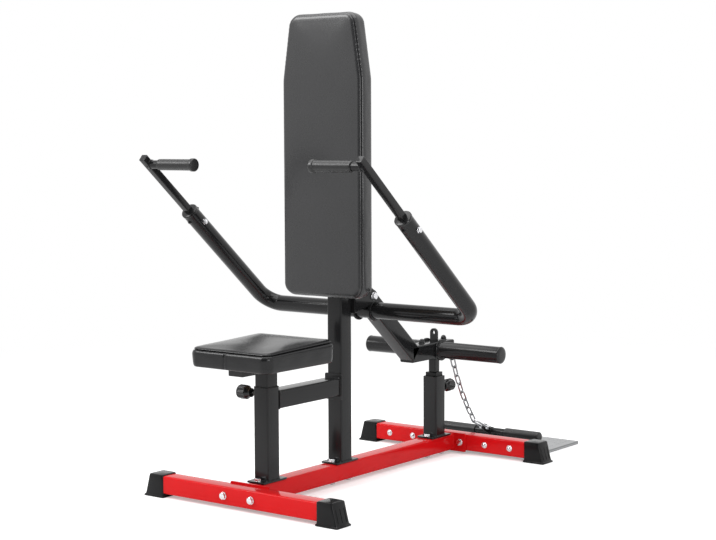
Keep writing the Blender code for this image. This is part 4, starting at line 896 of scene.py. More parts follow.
class DIP_OT_cushions(bpy.types.Operator):
    """The seat and the back rest: padded covers, filled by cloth simulation, with a sewn seam"""
    bl_idname = "dip.cushions"
    bl_label = "Cushions"

    def execute(self, context):
        x, y = 0.137, 0.144
        seat = np.array([(-x, -y), (x, -y), (x, y), (-x, y)])
        self.cushion("seat", "seat", seat, 0.026, self.seat_place, -0.011, "black_leatherette",
                     rise=0.012)
        back = np.array([(-0.140, 0), (0.140, 0), (0.140, 0.605), (0.113, 0.785), (-0.113, 0.785),
                         (-0.140, 0.605)])
        # The back rest's cover is the lighter-painted copy of the leatherette: painted light.
        self.cushion("back", "frame", back, 0.034, self.back_place, None, "back_leatherette_painted_lighter")
        return {"FINISHED"}

    def seat_place(self, points):
        """Seat: local x, y and height become x, depth and z."""
        return points + (0, -0.334, 0.379)

    def back_place(self, points):
        """Back rest: local y points up, and its height points forwards."""
        return np.stack([points[..., 0], BACK_PLANE - points[..., 2], points[..., 1] + 0.540], -1)

    def outline(self, corners, corner, spacing):
        """A polygon with each corner replaced by an arc, and its sides cut into even runs."""
        before, after = sides_of(corners)
        bend = np.arccos(np.clip((before * after).sum(1), -1, 1))
        radius = np.where(bend > 1.0, corner, 0.12)
        reach = radius * np.tan(bend / 2)
        pieces = []
        for at in range(len(corners)):
            inwards = np.array((-before[at][1], before[at][0]))
            centre = corners[at] - before[at] * reach[at] + inwards * radius[at]
            start = math.atan2(-inwards[1], -inwards[0])
            steps = max(3, int(bend[at] * radius[at] / spacing) + 1)
            angle = np.linspace(start, start + bend[at], steps)
            arc = centre + radius[at] * np.stack([np.cos(angle), np.sin(angle)], 1)
            following = (at + 1) % len(corners)
            end = corners[following] - before[following] * reach[following]
            runs = max(2, int(np.linalg.norm(end - arc[-1]) / spacing))
            pieces += [arc, arc[-1] + (end - arc[-1]) * np.linspace(0, 1, runs + 1)[1:-1, None]]
        return np.concatenate(pieces)

    def profile(self, fine, chosen):
        """Rows of height, inset and share, from the underside's middle over the side to the top's.

        The side leans in towards the seam as a quarter of an ellipse, the seam is a narrow furrow,
        and above it the top panel rises as a second quarter and then as a flat crown.
        """
        seam = chosen.seam_height
        waist, edge = seam - 0.013, seam + 0.0068
        rows = [(0.0, 0.006, share) for share in (0, 0.3, 0.6, 0.85, 1)]
        rows += [(0.0006, 0.0044, 1), (0.0020, 0.0026, 1), (0.0042, 0.0018, 1)]
        rows += [(z, 0.0016 - 0.0031 * (z / waist) ** 0.8, 1) for z in np.linspace(0.008, waist, 6)]
        rows += [(waist + 0.0118 * math.sin(a), 0.0066 * (1 - math.cos(a)) - 0.0015, 1)
                 for a in np.radians(np.linspace(8, 84, 12 if fine else 4))]
        if fine:
            for step in (-0.0010, -0.0006, -0.0003, 0.0, 0.0003, 0.0006, 0.0010):
                furrow = chosen.seam_depth * math.exp(-(step / 0.0006) ** 2 / 2)
                rows.append((seam + step, 0.0045 + furrow, 1))
        rows += [(seam + 0.0012 + 0.0056 * math.sin(a), 0.0040 + 0.0126 * (1 - math.cos(a)), 1)
                 for a in np.radians(np.linspace(4, 80, 10 if fine else 4))]
        inner = np.linspace(0.86, 0.0, 16 if fine else 10)
        rows += [(edge + 0.0012 * (1 - share ** 4), 0.0166, share)
                 for share in (*np.linspace(0.99, 0.90, 5), *inner)]
        return np.array(rows)

    def shell(self, outline, rows):
        """Rows round the cushion: the outline drawn in, then shrunk by each row's share."""
        middle = (outline.max(0) + outline.min(0)) / 2
        rings = np.array([drawn_in(outline, inset) for inset in rows[:, 1]])
        rings = middle + (rings - middle) * rows[:, 2, None, None]
        heights = np.broadcast_to(rows[:, 0, None, None], (len(rows), len(outline), 1))
        return np.concatenate([rings, heights], -1)

    def wedge(self, grid, rise):
        """Thicker to the rear: height grows by the rise times its share of thickness and depth."""
        made = grid.copy()
        y, z = grid[..., 1], grid[..., 2]
        made[..., 2] += rise * z / z.max() * (y - y.min()) / (y.max() - y.min())
        return made

    def cushion(self, word, body, corners, corner, where, join_x, finish, rise=0.0):
        """Lofts the cover, fills it by simulation, sews it, and adds thread, board and staples."""
        chosen = bpy.context.scene.dip_cushion
        outline = self.outline(corners, corner, 0.0026)
        rows = self.profile(True, chosen)
        grid = self.shell(outline, rows)
        coarse = self.shell(self.outline(corners, corner, 0.006), self.profile(False, chosen))
        rest, move = self.filled(word, coarse, chosen)
        grid = grid + self.carried_over(rest, move, grid, chosen.voxel)
        seam_row = int(np.argmin(np.abs(rows[:, 0] - chosen.seam_height) + (rows[:, 2] < 1)))
        grid = self.wedge(self.sewn(grid, rows, outline, chosen, join_x), rise)
        cover = build(f"{word}_padded_cover", [skin(grid)], finish, body, f"{word}_cushion",
                      sharp=70, where=where)
        self.thread(word, grid[seam_row], where, body)
        self.board(word, corners, corner, where, body)

    def filled(self, word, coarse, chosen):
        """Points of the remeshed form and how far cloth pressure moves them.

        The underside and the ring at the seam stay where they are, so that the panels between
        them swell as foam does in a boxed cover.
        """
        form = put(f"{word}_form", meshed(f"{word}_form", *skin(coarse)))
        step = form.modifiers.new("even", "REMESH")
        step.mode = "VOXEL"
        step.voxel_size = chosen.voxel
        self.bake(form)
        rest = self.points_of(form.data)
        reach = np.abs(rest[:, :2]) / np.abs(coarse[..., :2]).max((0, 1))
        ring = (np.abs(rest[:, 2] - chosen.seam_height) < 0.0035) & (reach.max(1) > 0)
        held = form.vertex_groups.new(name="held")
        held.add(np.flatnonzero((rest[:, 2] < 0.004) | ring).tolist(), 1.0, "REPLACE")
        cloth = form.modifiers.new("fill", "CLOTH")
        cloth.settings.quality = 6
        cloth.settings.use_pressure = True
        cloth.settings.uniform_pressure_force = chosen.pressure
        cloth.settings.effector_weights.gravity = 0
        cloth.settings.vertex_group_mass = "held"
        for number in range(1, 21):
            bpy.context.scene.frame_set(number)
        self.bake(form)
        bpy.context.scene.frame_set(1)
        move = self.points_of(form.data) - rest
        move *= chosen.swell / np.linalg.norm(move, axis=1).max()
        bpy.data.objects.remove(form)
        return rest, move

    def bake(self, form):
        """Keeps what the piece's modifiers make, and drops them."""
        graph = bpy.context.evaluated_depsgraph_get()
        made = bpy.data.meshes.new_from_object(form.evaluated_get(graph))
        form.modifiers.clear()
        form.data = made

    def points_of(self, mesh):
        """The mesh's points as an array."""
        points = np.empty(len(mesh.vertices) * 3)
        mesh.vertices.foreach_get("co", points)
        return points.reshape(-1, 3)

    def carried_over(self, rest, move, grid, cell):
        """Moves at the grid's points: summed in cells, spread to neighbours, read between them."""
        low = rest.min(0) - 4 * cell
        size = np.ceil((rest.max(0) - low) / cell).astype(int) + 5
        cells = np.zeros((*size, 4))
        spot = np.rint((rest - low) / cell).astype(int)
        np.add.at(cells, tuple(spot.T), np.column_stack([move, np.ones(len(move))]))
        for axis in (0, 1, 2, 0, 1, 2):
            cells = cells + 0.5 * (np.roll(cells, 1, axis) + np.roll(cells, -1, axis))
        at = (grid.reshape(-1, 3) - low) / cell
        floor = np.floor(at).astype(int)
        part = at - floor
        total = np.zeros((len(at), 4))
        for corner in np.ndindex(2, 2, 2):
            weight = np.where(corner, part, 1 - part).prod(1)
            total += weight[:, None] * cells[tuple((floor + corner).T)]
        return (total[:, :3] / np.maximum(total[:, 3:], 1e-9)).reshape(grid.shape)

    def sewn(self, grid, rows, outline, chosen, join_x):
        """Gathers beside the seam, slack lower down, and the upright join in the seat's front.

        Each moves the side's points along the outline's normal: a sine of the place along the
        outline times an exponential of the height above or below the seam.
        """
        out = unit(outline - drawn_in(outline, 0.001))
        along = np.concatenate([[0], np.cumsum(np.linalg.norm(np.diff(outline, axis=0), axis=1))])
        rise = (rows[:, 0] - chosen.seam_height)[:, None]
        side = (rows[:, 2, None] > 0.995) * np.clip(rows[:, 0, None] / 0.006, 0, 1)
        tight = 0.3 + 2.3 * np.clip((outline[:, 1] - 0.60) / 0.06, 0, 1) * out[:, 0] ** 2
        uneven = 0.6 + 0.4 * np.sin(along * 31 + 0.7) * np.sin(along * 11.3)
        waves = np.sin(along * TURN / 0.0135 + 2 * np.sin(along * 9))
        gathers = chosen.gather * tight * uneven * waves
        gathers = gathers * np.exp(-np.abs(rise) / 0.006) * (1 - np.exp(-(rise / 0.0012) ** 2))
        slack = 0.0006 * np.sin(along * TURN / 0.083 + 1.3) * np.exp(-np.abs(rise + 0.020) / 0.010)
        move = side * (gathers + slack)
        if join_x is not None:
            front = (outline[:, 1] < outline[:, 1].min() + 0.003) * (rise < -0.0006)
            offset = outline[:, 0] - join_x - 0.12 * (rise + 0.02)
            move = move - side * front * 0.0030 * np.exp(-(offset / 0.0019) ** 2 / 2)
            move = move + side * front * 0.0015 * np.exp(-((offset - 0.0045) / 0.0024) ** 2 / 2)
        made = grid.copy()
        made[..., :2] += out * move[..., None]
        return made

    def thread(self, word, seam, where, body):
        """The sewn thread: short stitches that lie in the seam's furrow, all round the cover."""
        closed, far = measured(seam)
        count = int(far[-1] / 0.0062)
        bow = 0.0004 - 0.0006 * np.linspace(-1, 1, 5)[:, None] ** 2
        shapes = []
        for at in (np.arange(count) + 0.5) * far[-1] / count:
            line = points_at(closed, far, np.linspace(at - 0.0021, at + 0.0021, 5))
            way = line[-1] - line[0]
            out = np.array((way[1], -way[0], 0)) / np.hypot(way[0], way[1])
            shapes.append(skin(carried(circle(0.0004, 6), line + out * bow, Z), caps=True))
        build(f"{word}_seam_thread", shapes, "seam_thread", body, sharp=60, where=where)

    def board(self, word, corners, corner, where, body):
        """The plywood board under the cover, with the staples that hold the cover's edge."""
        ring = drawn_in(self.outline(corners, corner, 0.02), 0.018)
        rows = [(-0.0010, 0.0006), (-0.0004, 0.0), (0.0118, 0.0), (0.0122, 0.0005)]
        sheet = skin(loft(ring, rows, np.zeros(3), Z, X), caps=True)
        build(f"{word}_ply_board", [sheet], "plywood", body, f"{word}_board", where=where)
        path = drawn_in(self.outline(corners, corner, 0.03), 0.013)
        wire = rounded(0.0012, 0.0009, 0.0003, 2)
        shapes = []
        for start, step in zip(path, np.roll(path, -1, 0) - path):
            reach = np.array((*(step / np.hypot(*step)), 0)) * 0.005
            middle = np.array((*(start + step / 2), -0.0002))
            shapes.append(bar(wire, middle - reach, middle + reach, Z, 0, 0.0002))
        build(f"{word}_cover_staples", shapes, "zinc_plate", body, where=where)


class DIP_OT_pivot(bpy.types.Operator):
    """The pivot bracket behind the main post, its bolt and the lever's bush"""
    bl_idname = "dip.pivot"
    bl_label = "Pivot"

    def execute(self, context):
        face, thick = TUBE / 2 + GAP, 0.005
        low, high = 0.486, 0.590
        base = rounded(2 * BRACKET_OUTSIDE, high - low, 0.004, 4)
        shapes = [plate(base, thick, (0, face + thick / 2, (low + high) / 2), X, Y)]
        outline = nose((face + thick / 2, low), (face + thick / 2, high), PIVOT[1:], 0.0175)
        for side in (-1, 1):
            shapes += [plate(outline, thick, (side * (BRACKET_OUTSIDE - thick / 2), 0, 0), Y, X),
                       bead_line(side * (BRACKET_OUTSIDE - 0.006), face + 0.006, low + 0.004,
                                 high - 0.004, 0.0022, 60)]
        build("pivot_cheeks", shapes, "black_powder_coat", "frame", "pivot_bracket")
        grip = 2 * (BRACKET_OUTSIDE + GAP)
        shapes = bolt(0.012, 0.019, 0.0062, grip, (grip / 2, PIVOT[1], PIVOT[2]), X)
        build("pivot_fixing", shapes, "chrome", "frame", "pivot_bolt")
        half = BRACKET_OUTSIDE - thick - GAP
        profile = [(0.0063, -half), (0.0094, -half), (0.0098, -half + EDGE), (0.0098, half - EDGE),
                   (0.0094, half), (0.0063, half)]
        build("pivot_sleeve", [lathe(profile, PIVOT, X, 32, closed=True)], "black_plastic", "lever",
              "pivot_bush")
        return {"FINISHED"}


class DIP_OT_lever(bpy.types.Operator):
    """The cranked weight lever: beam, tail, leg, lug, eye and the round gussets at the press arm"""
    bl_idname = "dip.lever"
    bl_label = "Weight lever"

    def execute(self, context):
        ring, leg = rounded(TUBE, TUBE, CORNER), rounded(0.025, 0.025, 0.003)
        beam = unit(JUNCTION - PIVOT)
        top = PIVOT - beam * 0.030
        lug = nose((0.013, 0.340), (-0.013, 0.340), (0, 0.384), 0.013)
        eye = nose((0.520, 0.3083), (0.5455, 0.3083), EYE[1:], 0.012)
        shapes = [bar(ring, top, JUNCTION, X),
                  bar(ring, (0, JUNCTION[1] - 0.016, JUNCTION[2]), (0, TAIL_REAR, JUNCTION[2]), X),
                  bar(leg, (0, REAR_POST, LEG_BOTTOM), (0, REAR_POST, 0.309), X),
                  bead_round(leg, (0, REAR_POST, 0.3065), X, Z, 0.0022),
                  pierced(lug, (0, 0.384), 0.0055, 0.008, (0, REAR_POST, 0), X, -Y),
                  pierced(eye, EYE[1:], 0.0065, 0.006, (0, 0, 0), Y, X)]
        disc = [(0.0243, 0), (0.0302, 0), (0.031, 0.0008), (0.031, 0.0045), (0.0304, 0.0053),
                (0.0243, 0.0053)]
        for side in (-1, 1):
            face = ARM_MIDDLE + X * side * TUBE / 2
            ring, middle = circle(ARM_RADIUS + 0.0007, 40), face + X * side * 0.0052
            shapes += [lathe(disc, face - X * side * GAP, X * side, 48, closed=True),
                       bead_round(ring, middle, Y, X, 0.0022)]
        build("lever_beam", shapes, "black_powder_coat", "lever", "lever")
        plug = rounded(TUBE - 0.001, TUBE - 0.001, CORNER)
        rows = [(0, 0), (0.0022, 0), (0.0034, 0.001)]
        caps = [skin(loft(plug, rows, at, along, X), caps=True)
                for at, along in (((0, TAIL_REAR, JUNCTION[2]), Y), (top, -beam))]
        build("lever_end_caps", caps, "black_plastic", "lever")
        nuts = []
        for depth in (0.410, 0.528):
            at = np.array((0, depth, JUNCTION[2] + TUBE / 2))
            dome = [(0.0075, 0.004), *crown(0.0075, 0.0068, 0.0062)]
            nuts += [washer(0.0105, 0.004, 0.0014, at, Z),
                     hexagon(0.0165, 0.0066, at + Z * 0.0014, Z),
                     lathe(dome, at + Z * 0.001, Z, 28)]
        build("lever_cap_nuts", nuts, "black_plastic", "lever", slot="black_coat")
        return {"FINISHED"}


class DIP_OT_horns(bpy.types.Operator):
    """The two weight horns, each with its stop flange, weld and end cap"""
    bl_idname = "dip.horns"
    bl_label = "Weight horns"

    def execute(self, context):
        start, tip, radius = TUBE / 2 + GAP, 0.241, 0.025
        end = tip - start
        profile = [(0.022, 0), (0.0322, 0), (0.033, 0.0008), (0.033, 0.0052), (0.0322, 0.006),
                   (0.0268, 0.006), (0.0256, 0.0066), (radius, 0.0082), (radius, end - 0.0006),
                   (0.0244, end), (0.022, end)]
        dome = [(0, -0.015), (0.0219, -0.015), (0.0219, 0), (0.0252, 0), (0.0256, 0.0006)]
        dome += [(0.0256 * math.cos(a) ** 0.5, 0.0008 + 0.0052 * math.sin(a))
                 for a in np.radians(np.linspace(5, 88, 12))]
        for side, word in SIDES:
            at = (side * start, REAR_POST, JUNCTION[2])
            weld = (side * (start + 0.0062), REAR_POST, JUNCTION[2])
            horn = [lathe(profile, at, X * side, 64, closed=True),
                    bead_round(circle(0.0256, 48), weld, Y, X, 0.0024)]
            build(f"weight_horn_{word}", horn, "black_powder_coat", "lever", f"horn_{word}")
            cap = lathe([*dome, (0, 0.006)], (side * tip, REAR_POST, JUNCTION[2]), X * side, 64)
            build(f"horn_plug_{word}", [cap], "black_plastic", "lever", f"horn_cap_{word}",
                  slot="rubber")
        return {"FINISHED"}


class DIP_OT_press_arm(bpy.types.Operator):
    """The bent press arm: a round tube carried along two straights, two bends and a cross run"""
    bl_idname = "dip.press_arm"
    bl_label = "Press arm"

    def execute(self, context):
        angle = np.linspace(0, math.pi / 2, 25)[:, None]
        centre = ARM_MIDDLE + X * (ARM_HALF_WIDTH - ARM_BEND) + ARM_UP * ARM_BEND
        bend = centre + X * ARM_BEND * np.cos(angle) - ARM_UP * ARM_BEND * np.sin(angle)
        mouth, edge = on_arm(1, ARM_REACH), 0.0008
        straight = np.linspace(mouth, bend[0], 12)[1:-1]
        left = np.concatenate([[mouth, mouth - ARM_UP * edge], straight, bend])
        right = left * (-1, 1, 1)
        path = np.concatenate([right, np.linspace(right[-1], left[-1], 20)[1:-1], left[::-1]])
        scale = np.ones(len(path))
        scale[[0, -1]] = 1 - edge / ARM_RADIUS
        outer = carried(circle(ARM_RADIUS, 48), path, ARM_ACROSS, scale=scale)
        bore = carried(circle(ARM_RADIUS - WALL, 48), path, ARM_ACROSS)
        tube = skin(np.concatenate([outer, bore[::-1]]), along=True)
        build("bent_press_arm", [tube], "black_powder_coat", "lever", "press_arm", sharp=40)
        return {"FINISHED"}


class DIP_OT_handles(bpy.types.Operator):
    """The square handle bars in the arm's mouths, their collars, bolts and rubber grips"""
    bl_idname = "dip.handles"
    bl_label = "Handles"

    def execute(self, context):
        reach = ARM_HALF_WIDTH - GRIP_END - 0.005
        core = [(0, 0), (0.0112, 0), (0.012, 0.0008), (0.012, reach), (0, reach)]
        ends = [(-0.0006, 0), (0.0018, 0), (0.0030, 0.001), (0.0034, 0.003)]
        collar = [(0, -0.012), (0.0213, -0.012), (0.0213, 0.0002), (0.0246, 0.0002),
                  (0.0249, 0.0012), (0.0249, 0.0052), (0.0233, 0.0072), (0.0160, 0.0086),
                  (0, 0.0086)]
        for side, word in SIDES:
            low = on_arm(side, ARM_REACH - HANDLE_BAR_IN)
            high = on_arm(side, ARM_REACH + HANDLE_BAR_OUT)
            at = on_arm(side, ARM_REACH + HANDLE_BAR_OUT - GRIP_BACK)
            shapes = [bar(rounded(0.020, 0.020, 0.0025), low, high, X),
                      lathe(core, at, -X * side, 40),
                      bead_round(circle(0.0122, 32), at - X * side * 0.0102, Z, X, 0.0018)]
            build(f"handle_{word}", shapes, "black_powder_coat", "lever", f"handle_bar_{word}")
            plugs = [skin(loft(rounded(0.0206, 0.0206, 0.003), ends, high, ARM_UP, X), caps=True),
                     lathe(collar, on_arm(side, ARM_REACH), ARM_UP, 48)]
            build(f"handle_plugs_{word}", plugs, "black_plastic", "lever")
            build(f"ribbed_grip_{word}", [self.grip(side, at)], "grip_rubber", "lever",
                  f"grip_{word}", sharp=50)
            self.bolts(side, word)
        return {"FINISHED"}

    def grip(self, side, at):
        """A grip: a ribbed sleeve between its open mouth and a smooth end flange."""
        length = GRIP_START - GRIP_END
        profile = [(0.0123, 0), (0.0143, 0), (0.0150, 0.0008), (0.0152, 0.003),
                   *ribs(0.004, length - 0.0145, 140, 0.0155, 0.00035),
                   (0.0155, length - 0.0135), (0.0168, length - 0.0122),
                   *fillet((0.0166, length - 0.0108), 0.0014, -60, 0, 4),
                   *fillet((0.0145, length - 0.0035), 0.0035, 0, 90, 8),
                   (0.005, length + 0.0002), (0, length + 0.0002)]
        return lathe(profile, (side * GRIP_START, at[1], at[2]), -X * side, 48)

    def bolts(self, side, word):
        """The cross bolt through arm and bar, and the set screw with its cap nut near the mouth."""
        at = on_arm(side, ARM_REACH - ARM_BOLT_BACK) + X * side * (ARM_RADIUS + GAP)
        shapes = bolt(0.008, 0.013, 0.0058, 2 * ARM_RADIUS + 0.0006, at, X * side)
        build(f"arm_cross_bolt_{word}", shapes, "chrome", "lever", f"arm_bolt_{word}")
        nuts = []
        for axis in (ARM_ACROSS, -ARM_ACROSS):
            face = on_arm(side, ARM_REACH - SET_SCREW_BACK) + axis * ARM_RADIUS
            nuts += [washer(0.0068, 0.003, 0.0010, face, axis),
                     hexagon(0.0100, 0.0032, face + axis * 0.0009, axis)]
            if axis is ARM_ACROSS:
                dome = [(0.0042, 0.002), *crown(0.0042, 0.0030, 0.0035)]
                nuts.append(lathe(dome, face + axis * 0.001, axis, 24))
        build(f"arm_set_screw_{word}", nuts, "black_plastic", "lever", slot="black_coat")


class DIP_OT_height_stop(bpy.types.Operator):
    """The inner tube of the rear post and its rubber pad"""
    bl_idname = "dip.height_stop"
    bl_label = "Height stop"

    def execute(self, context):
        ring = rounded(INNER_TUBE, INNER_TUBE, 0.004)
        tube = bar(ring, (0, REAR_POST, 0.105), (0, REAR_POST, 0.250), X, WALL)
        build("stop_inner_tube", [tube], "black_powder_coat", "stop", "stop_tube")
        face = REAR_POST + HOLE_FACE
        holes = [(0, face, STOP_KNOB_Z + step * STOP_STEP) for step in range(-2, 2)]
        hole_rims("stop_tube_holes", "stop", Y, holes)
        thick = 0.012
        rows = [(0, 0.001), (0.0012, 0), (0.0045, 0.0006), (0.0075, 0.0006), (0.0108, 0),
                (thick, 0.0012)]
        under = (0, REAR_POST, LEG_BOTTOM - GAP - thick)
        pad = skin(loft(rounded(0.040, 0.040, 0.004, 5), rows, under, Z, X), caps=True)
        build("stop_rubber_pad", [pad], "black_rubber", "stop", "stop_pad")
        return {"FINISHED"}


class DIP_OT_chain(bpy.types.Operator):
    """The chain from the lever's eye, the shackle, and the row bar with its grips"""
    bl_idname = "dip.chain"
    bl_label = "Chain and row bar"

    def execute(self, context):
        links, crown_at = self.hang(self.tilt())
        radius = (LINK_WIDTH - LINK_WIRE) / 2
        loop = np.concatenate([self.half_circle(radius, radius, math.pi),
                               self.half_circle(LINK_INSIDE + LINK_WIRE - radius, radius, 0)])
        for number, (tilt, start) in enumerate(links):
            down = leaning(tilt)
            lateral = X if number % 2 == 0 else np.cross(down, X)
            path = start + loop[:, :1] * lateral + loop[:, 1:] * down
            wire = carried(circle(LINK_WIRE / 2, 12), path, np.cross(lateral, down), True)
            build(f"welded_link_{number + 1}", [skin(wire, along=True)], "zinc_plate", "chain",
                  f"chain_link_{number + 1}")
        self.shackle(crown_at)
        self.row_bar(self.bar_axis(crown_at))
        return {"FINISHED"}

    def half_circle(self, height, radius, start):
        """Half a circle about a height, from one angle on: a link's end or the shackle's bow."""
        angle = np.linspace(start, start + math.pi, 17)
        return np.stack([radius * np.cos(angle), height + radius * np.sin(angle)], 1)

    def hang(self, tilt):
        """Each link's tilt and top end and the shackle's crown, each link leaning a little more."""
        start = EYE - Z * ((0.013 - LINK_WIRE) / 2 - 0.0013)
        links = []
        for number in range(LINKS):
            lean = tilt + number * LINK_LEAN
            links.append((lean, start))
            start = start + leaning(lean) * (LINK_INSIDE - GAP)
        return links, links[-1][1] + leaning(lean) * (LINK_INSIDE + (LINK_WIRE - 0.007) / 2 - GAP)

    def bar_axis(self, crown_at):
        """The row bar's axis, beyond the shackle and its lug."""
        return crown_at + leaning(SHACKLE_TILT) * (SHACKLE_LENGTH + ROW_LUG_REACH)

    def tilt(self):
        """The first link's tilt at which the row bar lies on the footplate, by halving."""
        low, high = 0.0, math.radians(80)
        for _ in range(40):
            middle = (low + high) / 2
            above = self.bar_axis(self.hang(middle)[1])[2] > ROW_BAR_LOWEST
            low, high = (low, middle) if above else (middle, high)
        return (low + high) / 2

    def shackle(self, crown_at):
        """The bow: two straight legs and a half circle, with round ears and a pin across them."""
        down = leaning(SHACKLE_TILT)
        half = 0.0115
        straight = np.linspace(half + 0.004, SHACKLE_LENGTH - 0.004, 8)
        legs = [np.append(straight, SHACKLE_LENGTH)[:, None] * (0, 1) + (x, 0)
                for x in (-half, half)]
        loop = np.concatenate([legs[0][::-1], self.half_circle(half, half, math.pi), legs[1]])
        path = crown_at + loop[:, :1] * X + loop[:, 1:] * down
        shapes = [skin(carried(circle(0.0035, 16), path, np.cross(X, down)), caps=True)]
        pin = crown_at + down * SHACKLE_LENGTH
        ear = [(0, -0.0035), (0.0062, -0.0035), (0.007, -0.0027), (0.007, 0.0027),
               (0.0062, 0.0035), (0, 0.0035)]
        shapes += [lathe(ear, pin + X * side * half, X, 28) for side in (-1, 1)]
        head = [(0, -0.019), (0.0034, -0.019), (0.004, -0.0184), (0.004, 0.0184), (0.0034, 0.019),
                (0, 0.019)]
        shapes += [lathe(head, pin, X, 24), hexagon(0.0115, 0.0042, pin + X * 0.0148, X)]
        build("bow_shackle", shapes, "chrome", "chain", "shackle")

    def row_bar(self, axis):
        """The row bar with its pierced lug and a ribbed grip on each end."""
        half = ROW_BAR / 2 - 0.0033
        back = -leaning(SHACKLE_TILT)[1:]
        across = np.array((back[1], -back[0])) * 0.013
        tip = axis[1:] + back * ROW_LUG_REACH
        lug = nose(axis[1:] + across, axis[1:] - across, tip, 0.011)
        shapes = [lathe([(0, -half), (0.0125, -half), (0.0125, half), (0, half)], axis, X, 40),
                  pierced(lug, tip, 0.0043, 0.006, (0, 0, 0), Y, X)]
        shapes += [bead_round(circle(0.0127, 24), axis + X * side * 0.0038, Z, X, 0.0016)
                   for side in (-1, 1)]
        build("pull_bar", shapes, "black_powder_coat", "chain", "row_bar")
        sleeve = [(0.0127, 0), (0.0155, 0), (0.0163, 0.0008), (0.0164, 0.004),
                  *ribs(0.005, ROW_GRIP - 0.008, 120, 0.0165, 0.0004),
                  *fillet((0.0125, ROW_GRIP - 0.004), 0.004, 0, 90, 8), (0, ROW_GRIP)]
        for side, word in SIDES:
            start = axis + X * side * (ROW_BAR / 2 - ROW_GRIP)
            build(f"pull_bar_grip_{word}", [lathe(sleeve, start, X * side, 40)], "grip_rubber",
                  "chain", f"row_grip_{word}", sharp=50)


class DIP_OT_stage(bpy.types.Operator):
    """The pale floor, the soft lights and the photograph's camera"""
    bl_idname = "dip.stage"
    bl_label = "Stage"

    def execute(self, context):
        chosen = context.scene.dip_stage
        self.world(chosen.sky)
        self.floor()
        self.lamp("overhead", (0.0, -0.3, 3.6), (0, 0, 0.3), 3.6, chosen.top_light)
        self.lamp("key", (-2.3, -3.1, 3.3), (0, 0, 0.6), 2.0, chosen.key_light)
        self.lamp("side", (3.5, -2.1, 1.2), (0, 0, 0.7), 1.5, chosen.side_light)
        self.flag((2.5, -5.0, 2.2), (0, 0, 2.2), 10.0, 4.4)
        self.camera(chosen.lens)
        context.scene.view_settings.view_transform = "Standard"
        return {"FINISHED"}

    def world(self, sky):
        """White for the camera, mirrors and glass; a softer even light for everything else."""
        made = bpy.data.worlds.new("studio")
        made.use_nodes = True
        tree = made.node_tree
        soft = tree.nodes["Background"]
        feed(tree, soft, {"Color": (0.98, 0.99, 1.0, 1.0), "Strength": sky})
        white = node(tree, "Background", {"Color": (1.0, 1.0, 1.0, 1.0), "Strength": 1.0})
        ray = node(tree, "LightPath").outputs
        either = maths(tree, "MAXIMUM", ray["Is Camera Ray"], ray["Is Glossy Ray"])
        either = maths(tree, "MAXIMUM", either, ray["Is Transmission Ray"])
        mix = node(tree, "MixShader", {0: either, 1: soft.outputs[0], 2: white.outputs[0]})
        feed(tree, tree.nodes["World Output"], {"Surface": mix.outputs[0]})
        bpy.context.scene.world = made

    def floor(self):
        """A flat disc of rings; its white goes over into plain light far from the machine."""
        rings = [(0, 0), *((far, 0) for far in np.geomspace(0.3, 14.0, 20))]
        mesh = meshed("studio_floor", *lathe(rings, (0, 0, -0.0002), Z, 72))
        pale = bpy.data.materials.new("studio_white")
        pale.use_nodes = True
        tree = pale.node_tree
        tree.nodes.remove(tree.nodes["Principled BSDF"])
        where = node(tree, "TexCoord").outputs["Object"]
        far = node(tree, "VectorMath", {0: where}, operation="LENGTH").outputs["Value"]
        share = ranged(tree, far, 0.7, 3.2, interpolation_type="SMOOTHSTEP")
        tone = ranged(tree, noise(tree, where, 3.0, 3.0), 0.0, 1.0, 0.82, 0.84)
        paper = node(tree, "BsdfDiffuse", {"Color": tone}).outputs[0]
        lift = node(tree, "Emission", {"Strength": 0.34}).outputs[0]
        ray = node(tree, "LightPath").outputs["Is Camera Ray"]
        seen = node(tree, "MixShader", {0: ray, 2: lift})
        both = node(tree, "AddShader", {0: paper, 1: seen.outputs[0]}).outputs[0]
        glow = node(tree, "Emission", {"Strength": 1.0}).outputs[0]
        mix = node(tree, "MixShader", {0: share, 1: both, 2: glow}).outputs[0]
        feed(tree, tree.nodes["Material Output"], {"Surface": mix})
        mesh.materials.append(pale)
        put("studio_floor", mesh)

    def lamp(self, name, at, aim, size, power):
        """A square lamp that looks at a point."""
        data = bpy.data.lights.new(name, "AREA")
        data.size = size
        data.energy = power
        made = put(name, data)
        made.location = at
        made.rotation_euler = (Vector(aim) - Vector(at)).to_track_quat("-Z", "Y").to_euler()
        made.visible_camera = False

    def flag(self, at, aim, width, height):
        """A dark card behind the camera that only mirrors see: it gives round edges their shade."""
        across = unit(np.cross(np.subtract(aim, at), Z)) * width / 2
        up = Z * height / 2
        corners = [at - across - up, at + across - up, at + across + up, at - across + up]
        mesh = meshed("studio_flag", [corner.tolist() for corner in corners], [(0, 1, 2, 3)])
        pebbled("studio_black", (0.02, 0.02, 0.02), 0.9, 60.0, 0.5, 200.0, 0.0002)
        mesh.materials.append(bpy.data.materials["studio_black"])
        made = put("studio_flag", mesh)
        for ray in ("visible_camera", "visible_diffuse", "visible_shadow", "visible_transmission"):
            setattr(made, ray, False)

    def camera(self, lens):
        """The photograph's camera: turned to the machine, tipped down and rolled about its view."""
        data = bpy.data.cameras.new("photograph")
        data.sensor_width = 36.0
        data.lens = lens
        data.clip_end = 60.0
        made = put("photograph", data)
        heading, tip, roll = (Matrix.Rotation(math.radians(angle), 3, axis)
                              for angle, axis in ((37.08, "Z"), (90 - 4.79, "X"), (-0.22, "Z")))
        made.rotation_euler = (heading @ tip @ roll).to_euler()
        made.location = (2.781, POST_Y - 3.591, 0.990)
        bpy.context.scene.camera = made


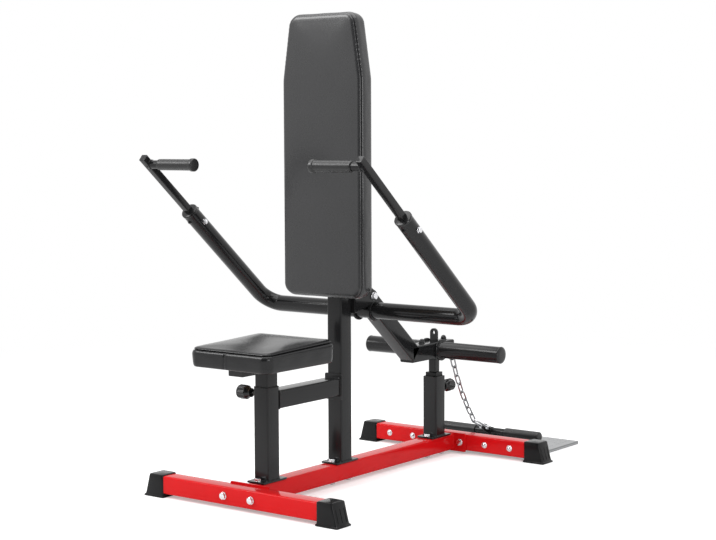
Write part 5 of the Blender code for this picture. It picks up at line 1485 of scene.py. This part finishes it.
class DIP_PT_machine(bpy.types.Panel):
    """Settings and steps of the machine's looks"""
    bl_idname = "DIP_PT_machine"
    bl_label = "Dip machine"
    bl_space_type = "VIEW_3D"
    bl_region_type = "UI"
    bl_category = "Dip machine"

    def draw(self, context):
        for group in SETTINGS:
            settings = getattr(context.scene, group)
            box = self.layout.box()
            for name in settings.bl_rna.properties.keys():
                if name not in ("rna_type", "name"):
                    box.prop(settings, name)
        for step in STEPS:
            self.layout.operator(step.bl_idname)


SETTINGS = {"dip_finish": DipFinishSettings, "dip_cushion": DipCushionSettings,
            "dip_stage": DipStageSettings}
STEPS = (DIP_OT_finishes, DIP_OT_stage, DIP_OT_base_bars, DIP_OT_feet, DIP_OT_footplate,
         DIP_OT_posts, DIP_OT_base_bolts, DIP_OT_pull_knobs, DIP_OT_seat_carrier, DIP_OT_pivot,
         DIP_OT_lever, DIP_OT_horns, DIP_OT_press_arm, DIP_OT_handles, DIP_OT_height_stop,
         DIP_OT_chain, DIP_OT_cushions)


def register():
    """Registers the settings, the steps and the panel."""
    for name, group in SETTINGS.items():
        bpy.utils.register_class(group)
        setattr(bpy.types.Scene, name, bpy.props.PointerProperty(type=group))
    for step in (*STEPS, DIP_PT_machine):
        bpy.utils.register_class(step)


def unregister():
    """Takes away what register() added."""
    for step in (DIP_PT_machine, *reversed(STEPS)):
        bpy.utils.unregister_class(step)
    for name, group in SETTINGS.items():
        delattr(bpy.types.Scene, name)
        bpy.utils.unregister_class(group)


def main():
    """Registers the steps and runs each one in order."""
    register()
    bpy.ops.dip.finishes()
    bpy.ops.dip.stage()
    bpy.ops.dip.base_bars()
    bpy.ops.dip.feet()
    bpy.ops.dip.footplate()
    bpy.ops.dip.posts()
    bpy.ops.dip.base_bolts()
    bpy.ops.dip.pull_knobs()
    bpy.ops.dip.seat_carrier()
    bpy.ops.dip.pivot()
    bpy.ops.dip.lever()
    bpy.ops.dip.horns()
    bpy.ops.dip.press_arm()
    bpy.ops.dip.handles()
    bpy.ops.dip.height_stop()
    bpy.ops.dip.chain()
    bpy.ops.dip.cushions()


if __name__ == "__main__":
    main()
